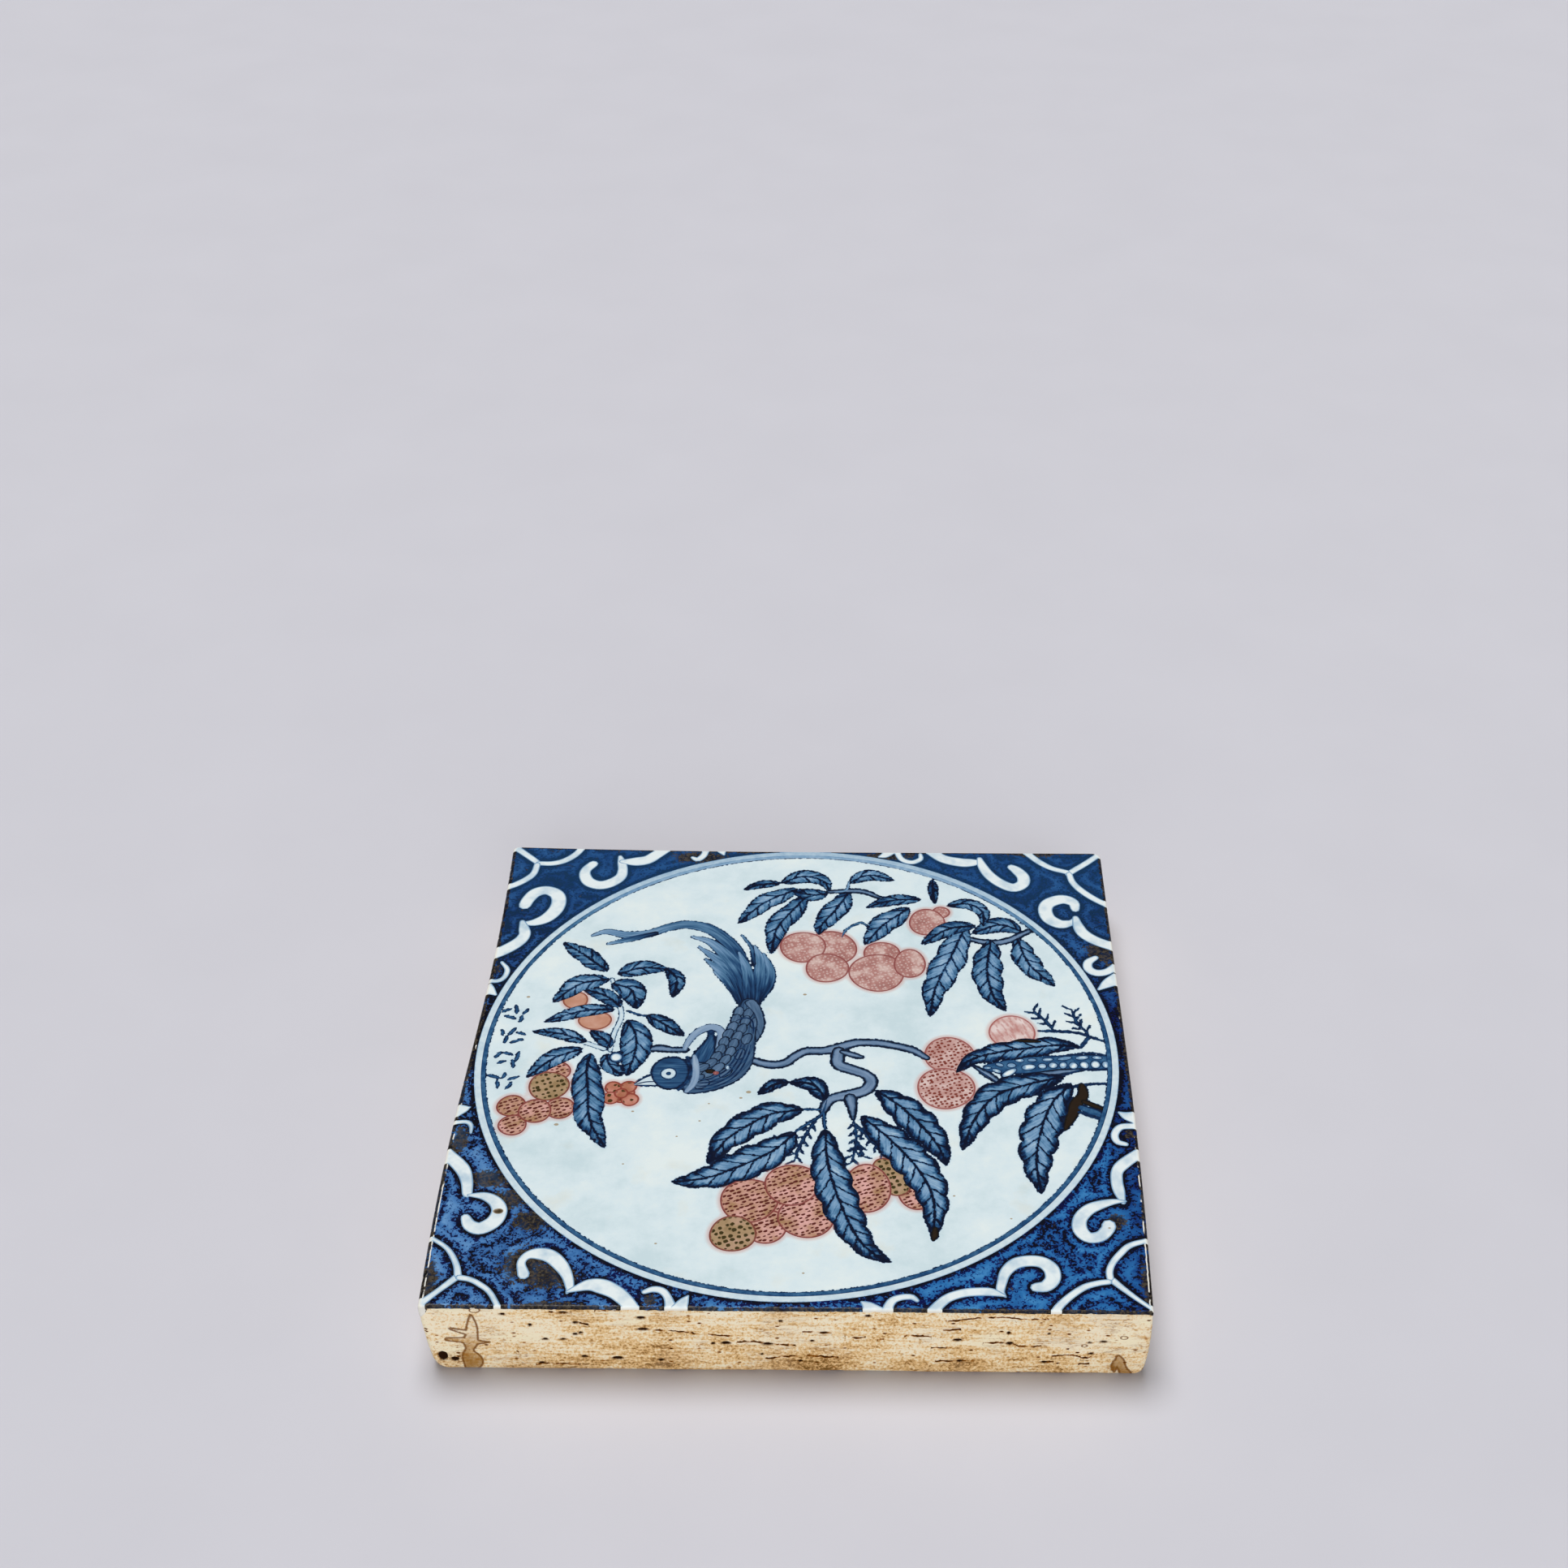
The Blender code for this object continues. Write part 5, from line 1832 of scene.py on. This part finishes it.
def brushed(low, high, edge_depth, edge_width, at_back):
    """A plain stroke: its thinnest and thickest cobalt, what its edge adds, and the back too."""
    def colour_of(tree, place, marks):
        wash = remap(tree, cloud(tree, place, 1.8), (0.3, 0.7), (low, high))
        ragged = add(tree, marks["edge"], cloud(tree, place, GRAIN_SIZE, 2), 0.5)
        rim = remap(tree, ragged, (0.25, 0.25 + edge_width), (edge_depth, 0))
        back = put(tree, "SeparateXYZ", {"Vector": place}).outputs["Y"]
        for part in (rim, remap(tree, back, (50, 85), (0, at_back))):
            wash = add(tree, wash, part)
        return put(tree, "ValToRGB", {"Fac": wash}, ramp=COBALT)
    return colour_of


finishes[SCROLL] = glazed(SCROLL, reserved_white)
finishes[BAND] = glazed(BAND, brushed(0.01, 0.1, 0.26, 0.32, 0.14))
finishes[LINE] = glazed(LINE, brushed(0.6, 0.75, 0.14, 0.35, -0.36))
finishes[PEN] = glazed(PEN, brushed(0.76, 0.96, -0.08, 0.2, -0.1))
print(len(finishes), "finishes so far")

# %% [markdown]
# ## Leaves
# The painter drew each leaf in nearly black line, ran a dark wash round its margin, and left the
# cells between the side veins paler. Side veins leave the midrib in pairs that are out of step,
# and slant forward to the margin. The wash was pulled along them, so its streaks follow them.
# On the left and at the back the lines are thinner and softer.

# %% Leaf wash
VEIN_GAP = 6
VEIN_SLANT = 1.2
VEIN_WIDTH = 0.2
MARGIN = 2.5
STREAK_STRETCH = (1.3, 0.22, 1)


def leaf_wash(tree, place, marks):
    """Dark outline and veins, a dark margin, and paler cells between the veins."""
    stir = add(tree, -0.5, cloud(tree, place, 1.5, 3, Roughness=0.62))
    grain = cloud(tree, place, GRAIN_SIZE, 2)
    where = put(tree, "SeparateXYZ", {"Vector": place}).outputs
    leftward = remap(tree, where["X"], (-30, -50), (0, 1))
    backward = remap(tree, where["Y"], (5, 35), (0, 1))
    soft = put(tree, "Math", [leftward, backward], operation="MAXIMUM")
    aside = put(tree, "Math", [marks["across"]], operation="ABSOLUTE")
    which = put(tree, "Math", [marks["across"]], operation="SIGN")
    out_of_step = add(tree, marks["along"], which, VEIN_GAP / 4)
    slanted = add(tree, out_of_step, aside, -VEIN_SLANT)
    wavy = add(tree, slanted, stir, 1.8)
    to_vein = put(tree, "Math", [wavy, VEIN_GAP / 2], operation="PINGPONG")
    beads = remap(tree, grain, (0.3, 0.7), (-0.28, 0.28))
    vein = add(tree, to_vein, beads)
    vein = remap(tree, vein, (VEIN_WIDTH, VEIN_WIDTH + 0.3), (0.85, 0))
    rib = add(tree, aside, beads)
    rib = remap(tree, rib, (VEIN_WIDTH, VEIN_WIDTH + 0.3), (1, 0))
    outline = add(tree, marks["edge"], beads, 2)
    outline = add(tree, outline, stir, 1.2)
    outline = add(tree, outline, soft, 0.25)
    outline = remap(tree, outline, (0.45, 0.72), (1, 0))
    lines = put(tree, "Math", [vein, rib], operation="MAXIMUM")
    lines = put(tree, "Math", [lines, outline], operation="MAXIMUM")
    depth = add(tree, marks["edge"], stir, 2.6)
    margin = remap(tree, depth, (0.8, MARGIN), (0.4, 0), smooth=True)
    softened = put(tree, "Math", [margin, soft], operation="MULTIPLY")
    margin = add(tree, margin, softened, -0.5)
    beside_rib = remap(tree, aside, (0.2, 0.9), (0.14, 0))
    beside_vein = remap(tree, to_vein, (0.2, 1), (0.14, 0))
    pulled = put(tree, "CombineXYZ", {"X": wavy, "Y": aside})
    pulled = put(tree, "VectorMath", [pulled, STREAK_STRETCH], operation="MULTIPLY")
    streak = remap(tree, cloud(tree, pulled, 1), (0.3, 0.7), (-0.13, 0.13))
    pool = remap(tree, cloud(tree, place, 5), (0.3, 0.7), (0.23, 0.5))
    thickness = add(tree, pool, marks["tone"], 0.12)
    for part in (streak, margin, beside_rib, beside_vein):
        thickness = add(tree, thickness, part)
    boldness = remap(tree, soft, (0, 1), (0.66, 0.44))
    lines = put(tree, "Math", [lines, boldness], operation="MULTIPLY")
    thickness = add(tree, thickness, lines)
    return put(tree, "ValToRGB", {"Fac": thickness}, ramp=COBALT)


finishes[LEAF] = glazed(LEAF, leaf_wash)
print("Side veins are", VEIN_GAP, "mm apart")

# %% [markdown]
# ## Branches and feathers
# A branch is a slate-blue stroke with nearly black edges and a paler streak down its middle.
# Feathers are the same idea on a smaller scale. A tail feather starts at the root with a full
# brush and fades towards its tip as the brush runs dry.

# %% Branch and feather washes
SLATE = [(0.3, "#7E8AA6"), (0.55, "#525C74"), (0.8, "#1B2634"), (1, "#0A121A")]


def streaks(tree, marks, stretch, low, high):
    """Cobalt drawn out in long streaks along a stroke."""
    drawn = put(tree, "CombineXYZ", {"X": marks["along"], "Y": marks["across"]})
    drawn = put(tree, "VectorMath", [drawn, (*stretch, 1)], operation="MULTIPLY")
    drawn = put(tree, "VectorMath", [drawn, marks["tone"]], operation="ADD")
    return remap(tree, cloud(tree, drawn, 1), (0.3, 0.7), (low, high))


def dark_edge(tree, place, marks, width, depth):
    """The ragged dark edge inside a stroke."""
    ragged = add(tree, marks["edge"], cloud(tree, place, GRAIN_SIZE, 2), 0.7)
    return remap(tree, ragged, (0.4, 0.4 + width), (depth, 0), smooth=True)


def dulled(tree, thickness, share):
    """Cobalt of one thickness, dulled with a share of slate grey."""
    blue = put(tree, "ValToRGB", {"Fac": thickness}, ramp=COBALT)
    slate = put(tree, "ValToRGB", {"Fac": thickness}, ramp=SLATE)
    return blend(tree, share, blue, slate)


def branch_wash(tree, place, marks):
    """Slate blue with dark edges and a paler streak."""
    wash = streaks(tree, marks, (0.14, 0.9), 0.32, 0.5)
    edge = dark_edge(tree, place, marks, 1.05, 0.6)
    thickness = add(tree, wash, edge)
    return dulled(tree, thickness, 0.5)


def feather(edge_width, edge_depth, root, tip, spread, slate):
    """A feather wash: its dark edge, how thick the cobalt lies at its root and tip, its slate."""
    def colour_of(tree, place, marks):
        share = put(tree, "Math", [marks["along"], marks["length"]], operation="DIVIDE")
        fading = remap(tree, share, (0, 1), (root, tip))
        thickness = streaks(tree, marks, (0.12, 1.5), -spread, spread)
        for part in (fading, dark_edge(tree, place, marks, edge_width, edge_depth)):
            thickness = add(tree, thickness, part)
        return dulled(tree, thickness, slate)
    return colour_of


for name, colour_of in ((BRANCH, branch_wash), (TAIL, feather(0.3, 0.1, 0.88, 0.36, 0.14, 0.12)),
                        (FEATHER, feather(0.5, 0.4, 0.54, 0.6, 0.08, 0.5)),
                        (COLLAR, feather(0.3, 0.14, 0.26, 0.3, 0.08, 0.4)),
                        (BODY_WASH, feather(0.6, 0.24, 0.64, 0.68, 0.12, 0.4)),
                        (DEEP_BLUE, feather(0.8, 0.26, 0.7, 0.7, 0.1, 0.1))):
    finishes[name] = glazed(name, colour_of)
print(len(finishes), "finishes with the feathers")

# %% [markdown]
# ## Copper-red fruit
# Each fruit is a pink wash with a dark red outline. Rows of short slanting dashes, about 1.5 mm
# apart, stand for the rough skin. Where the copper turned, the wash is brown and the dashes are
# round olive dots. On the fruit at the back and on the right they are small or faint.

# %% Fruit washes
DASH_GAP = 1.5
DASH_SLANT = math.radians(24)
DASH_SIZE = (1.5, 0.84)
DOT_SIZE = (1.6, 1.5)


def copper(wash, outline, dots=None, dot_size=DASH_SIZE, gap=DASH_GAP, dot_share=1):
    """A fruit wash: three stops of its wash, its outline, and its dots or dashes."""
    def colour_of(tree, place, marks):
        skin = put(tree, "ValToRGB", {"Fac": cloud(tree, place, 4)},
                   ramp=list(zip((0.32, 0.5, 0.68), wash)))
        if dots:
            cells = put(tree, "Mapping", {"Vector": place, "Rotation": (0, 0, -DASH_SLANT),
                                          "Scale": (1 / gap, 1 / gap, 1 / gap)})
            cell = put(tree, "TexVoronoi", {"Vector": cells, "Scale": 1, "Randomness": 0.55},
                       voronoi_dimensions="2D")
            off = put(tree, "VectorMath", [cells, cell.outputs["Position"]], operation="SUBTRACT")
            shape = [gap / (size / 2) for size in dot_size]
            off = put(tree, "VectorMath", [off, (*shape, 0)], operation="MULTIPLY")
            reach = put(tree, "VectorMath", [off], operation="LENGTH").outputs["Value"]
            chance = put(tree, "SeparateXYZ", {"Vector": cell.outputs["Color"]}).outputs["X"]
            reach = add(tree, reach, cloud(tree, place, 0.6, 1), 0.7)
            reach = add(tree, reach, chance, 0.5)
            dot = remap(tree, reach, (1.3, 1.55), (dot_share, 0))
            clear = remap(tree, marks["edge"], (0.4, 0.8), (0, 1))
            dot = put(tree, "Math", [dot, clear], operation="MULTIPLY")
            skin = blend(tree, dot, skin, dots)
        ragged = add(tree, marks["edge"], cloud(tree, place, 0.8, 2), 0.4)
        line = remap(tree, ragged, (0.56, 0.92), (0.95, 0))
        return blend(tree, line, skin, outline)
    return colour_of


for name, colour_of in (
        (RED, copper(("#A8805E", "#C59584", "#DCA9A2"), "#7E3836", "#5A241D")),
        (OLIVE, copper(("#967C58", "#AA8E6C", "#B8967E"), "#7A3C34", "#3E3416", (1.4, 1.3), 1.9)),
        (ORANGE, copper(("#B9876C", "#C28D76", "#CA9C88"), "#8A4A38")),
        (PALE_RED, copper(("#A2706A", "#B4827B", "#D2B5AD"), "#8C4A48", "#E2CCC6", (0.8, 0.8),
                          1.3, 0.5)),
        (FRESH_RED, copper(("#B88A82", "#C8A19A", "#DCC3BD"), "#96504C", "#7E3A30", (1.1, 0.95),
                           1.4)),
        (THIN_RED, copper(("#C2948E", "#D4B4AE", "#E4D2CE"), "#A25A56", "#B87670", (0.9, 3.4),
                          2, 0.5)),
        (FLOWER, copper(("#A86A50", "#BE7C68", "#CE9686"), "#8A3A30", "#4A3414", DOT_SIZE, 2.6))):
    finishes[name] = glazed(name, colour_of)
print(len(finishes), "finishes so far")

# %% Iron that burned brown


def iron_speck(tree, place, marks):
    """A burned speck, darkest in its middle."""
    return put(tree, "ValToRGB", {"Fac": marks["edge"]}, ramp=[(0, "#A99C84"),
                                                               (0.3, "#5C4A36"),
                                                               (0.8, "#35301A")])


def iron_wash(tree, place, marks):
    """Cobalt that burned to brown, with a nearly black edge."""
    ragged = add(tree, marks["edge"], cloud(tree, place, 1), 0.9)
    return put(tree, "ValToRGB", {"Fac": ragged}, ramp=[(0.5, "#0E0D0B"), (0.9, "#1A130C"),
                                                        (1, "#281C10")])


finishes[IRON_SPECK] = glazed(IRON_SPECK, iron_speck)
finishes[IRON_WASH] = glazed(IRON_WASH, iron_wash)
for name in pigments:
    glaze_coat.data.materials.append(finishes[name])
print(len(pigments), "painted finishes")

# %% [markdown]
# ## Biscuit clay
# The bare clay is fired but unglazed: matt, buff to ochre, with thin level layers, pinkish
# patches and near-white ones, brown water stains with a dark tide line, and dark brown grit.
# Fired clay has a high roughness and an IOR near 1.5.

# %% Clay: its layers and colours
LAYER_SIZE = 1.6
LAYER_LENGTH = 12
BROAD_SIZE = 20
FLUSH_SIZE = 15
GRIT_SIZE = 0.8
CLAY = [(0.12, "#7E5A2C"), (0.26, "#C0935A"), (0.42, "#E8BF83"), (0.58, "#F8D9A6"),
        (0.76, "#FFF2D4")]

material, tree, place = new_material("biscuit_clay")
kept = {name: put(tree, "Attribute", attribute_name=name).outputs["Fac"]
        for name in ("pit_edge", "crack_above", "crack_near", "stain", "ring_mark", "pale")}
where = put(tree, "SeparateXYZ", {"Vector": place}).outputs
rightward, high_up = where["X"], where["Z"]
level = (1 / LAYER_LENGTH, 1 / LAYER_LENGTH, 1 / LAYER_SIZE)
level = put(tree, "VectorMath", [place, level], operation="MULTIPLY")
layers = cloud(tree, level, 1, 8, Roughness=0.7, Distortion=0.5)
broad = cloud(tree, place, BROAD_SIZE, 4)
grain = cloud(tree, place, GRIT_SIZE, 3, Roughness=0.7)
tone = add(tree, layers, grain, 0.95)
tone = add(tree, tone, broad, 0.6)
# The clay is painted a little darker towards the foot: painted shade near the floor.
tone = add(tree, tone, remap(tree, high_up, (2, 13), (-0.09, 0.03)))
tone = add(tree, tone, remap(tree, rightward, (60, 95), (0, 0.08)))
tone = add(tree, tone, remap(tree, rightward, (-95, -60), (0.08, 0)))
tone = remap(tree, tone, (0.92, 1.54), (0, 1))
colour = put(tree, "ValToRGB", {"Fac": tone}, ramp=CLAY)
flush = cloud(tree, place, FLUSH_SIZE)
colour = blend(tree, remap(tree, flush, (0.52, 0.72), (0, 0.3)), colour, "#E6C69C")
# Near-white patches; the strip on the front left corner is a painted highlight.
cream = add(tree, kept["pale"], layers, 3)
cream = add(tree, cream, grain, 1)
colour = blend(tree, remap(tree, cream, (2.4, 3.2), (0, 0.9)), colour, "#FFF3D0")
colour = blend(tree, remap(tree, grain, (0.31, 0.4), (0.42, 0)), colour, "#A67434")
print("Clay layers are about", LAYER_SIZE, "mm apart")

# %% Clay: water stains
BLOTCH_SIZE = 3
RING_SHARPNESS = 2.2

wet = add(tree, kept["stain"], grain, 0.8)
filled = remap(tree, high_up, (11.5, 15.5), (0.75, 0.12))
blotch = remap(tree, cloud(tree, place, BLOTCH_SIZE, 4), (0.36, 0.6), (0.45, 1))
for part in (blotch, remap(tree, wet, (0.22, 0.45), (1, 0))):
    filled = put(tree, "Math", [filled, part], operation="MULTIPLY")
colour = blend(tree, filled, colour, "#B4823F")
low_stain = remap(tree, high_up, (5, 9), (0.45, 0))
inside_stain = remap(tree, wet, (0.2, 0.45), (1, 0))
dirty = put(tree, "Math", [low_stain, inside_stain], operation="MULTIPLY")
colour = blend(tree, dirty, colour, "#A07434")
tide = put(tree, "Math", [kept["stain"]], operation="ABSOLUTE")
mark = put(tree, "Math", [kept["ring_mark"]], operation="ABSOLUTE")
mark = put(tree, "Math", [mark, RING_SHARPNESS], operation="MULTIPLY")
tide = put(tree, "Math", [tide, mark], operation="MINIMUM")
tide = add(tree, tide, grain, 0.3)
colour = blend(tree, remap(tree, tide, (0.3, 0.6), (0.9, 0)), colour, "#7E4C12")
print(len(STAINS), "stains and", len(RING_MARKS), "ring marks")

# %% Clay: hairlines, cracks, grit and pits, with painted shade in the cracks and pits
HAIRLINE_STRETCH = (0.09, 0.09, 0.62)
WANDER_SIZE = 1.6
BREAK_SIZE = 2.4
GRIT_STRETCH = (0.9, 0.9, 1.7)
GRIT_GAP = 2.4

fine = put(tree, "VectorMath", [place, HAIRLINE_STRETCH], operation="MULTIPLY")
hairline = add(tree, -0.5, cloud(tree, fine, 1, 4, Roughness=0.5))
hairline = put(tree, "Math", [hairline], operation="ABSOLUTE")
open_here = remap(tree, flush, (0.5, 0.62), (0, 0.3))
hairline = remap(tree, hairline, (0.002, 0.014), (1, 0))
hairline = put(tree, "Math", [hairline, open_here], operation="MULTIPLY")
wander = add(tree, -0.5, cloud(tree, place, WANDER_SIZE, 3))
above = add(tree, kept["crack_above"], wander, 1.4)
above = put(tree, "Math", [above], operation="ABSOLUTE")
ragged = add(tree, above, grain, 0.5)
crack = remap(tree, ragged, (0.28, 0.7), (1, 0))
broken = remap(tree, cloud(tree, place, BREAK_SIZE, 3), (0.42, 0.54), (0.1, 1))
for part in (kept["crack_near"], broken):
    crack = put(tree, "Math", [crack, part], operation="MULTIPLY")
crack = put(tree, "Math", [crack, hairline], operation="MAXIMUM")
grit_place = put(tree, "VectorMath", [place, GRIT_STRETCH], operation="MULTIPLY")
grit = put(tree, "TexVoronoi", {"Vector": grit_place, "Scale": 1 / GRIT_GAP})
rare = put(tree, "SeparateXYZ", {"Vector": grit.outputs["Color"]}).outputs["X"]
rare = remap(tree, rare, (0.78, 0.94), (0, 0.9))
grit = remap(tree, grit.outputs["Distance"], (0.08, 0.28), (1, 0))
grit = put(tree, "Math", [grit, rare], operation="MULTIPLY")
# Cracks and hairlines are painted dark brown as painted shade in the gaps; the grit's dark brown
# is its own colour.
dark = put(tree, "Math", [crack, grit], operation="MAXIMUM")
burned = put(tree, "ValToRGB", {"Fac": dark},
             ramp=[(0.1, "#B8792C"), (0.5, "#8A4E10"), (0.82, "#2C1200")])
colour = blend(tree, remap(tree, dark, (0, 0.4), (0, 1)), colour, burned)
# Each pit is painted dark brown towards its middle: painted shade in the hollow.
pit = add(tree, kept["pit_edge"], grain, 0.35)
colour = blend(tree, remap(tree, pit, (0.2, 0.6), (0.65, 0)), colour, "#98601E")
colour = blend(tree, remap(tree, pit, (0.14, 0.36), (1, 0)), colour, "#2A1405")
print("Lumps of grit are about", GRIT_GAP, "mm apart")

# %% Clay: its rough surface
CLAY_IOR = 1.5
CLAY_SHINE = 0.06
CLAY_ROUGHNESS = (0.78, 0.95)
CLAY_BUMP = 0.26

height = add(tree, grain, layers, 0.6)
height = add(tree, height, dark, -0.8)
bump = put(tree, "Bump", {"Height": height, "Distance": CLAY_BUMP * MM, "Strength": 0.9})
rough = remap(tree, grain, (0, 1), CLAY_ROUGHNESS)
surface = put(tree, "BsdfPrincipled", {"Base Color": colour, "Roughness": rough,
                                       "IOR": CLAY_IOR, "Specular IOR Level": CLAY_SHINE,
                                       "Normal": bump})
put(tree, "OutputMaterial", {"Surface": surface})
clay_body.data.materials.append(material)
print("The clay's grain stands", CLAY_BUMP, "mm proud")

# %% [markdown]
# ## Hand over the pieces
# Both pieces stand in for the imported tile and ride on its only body.

# %% Hand over
PIECE_BODY = "root"

for piece in (clay_body, glaze_coat):
    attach(piece, PIECE_BODY)
    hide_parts("tile")
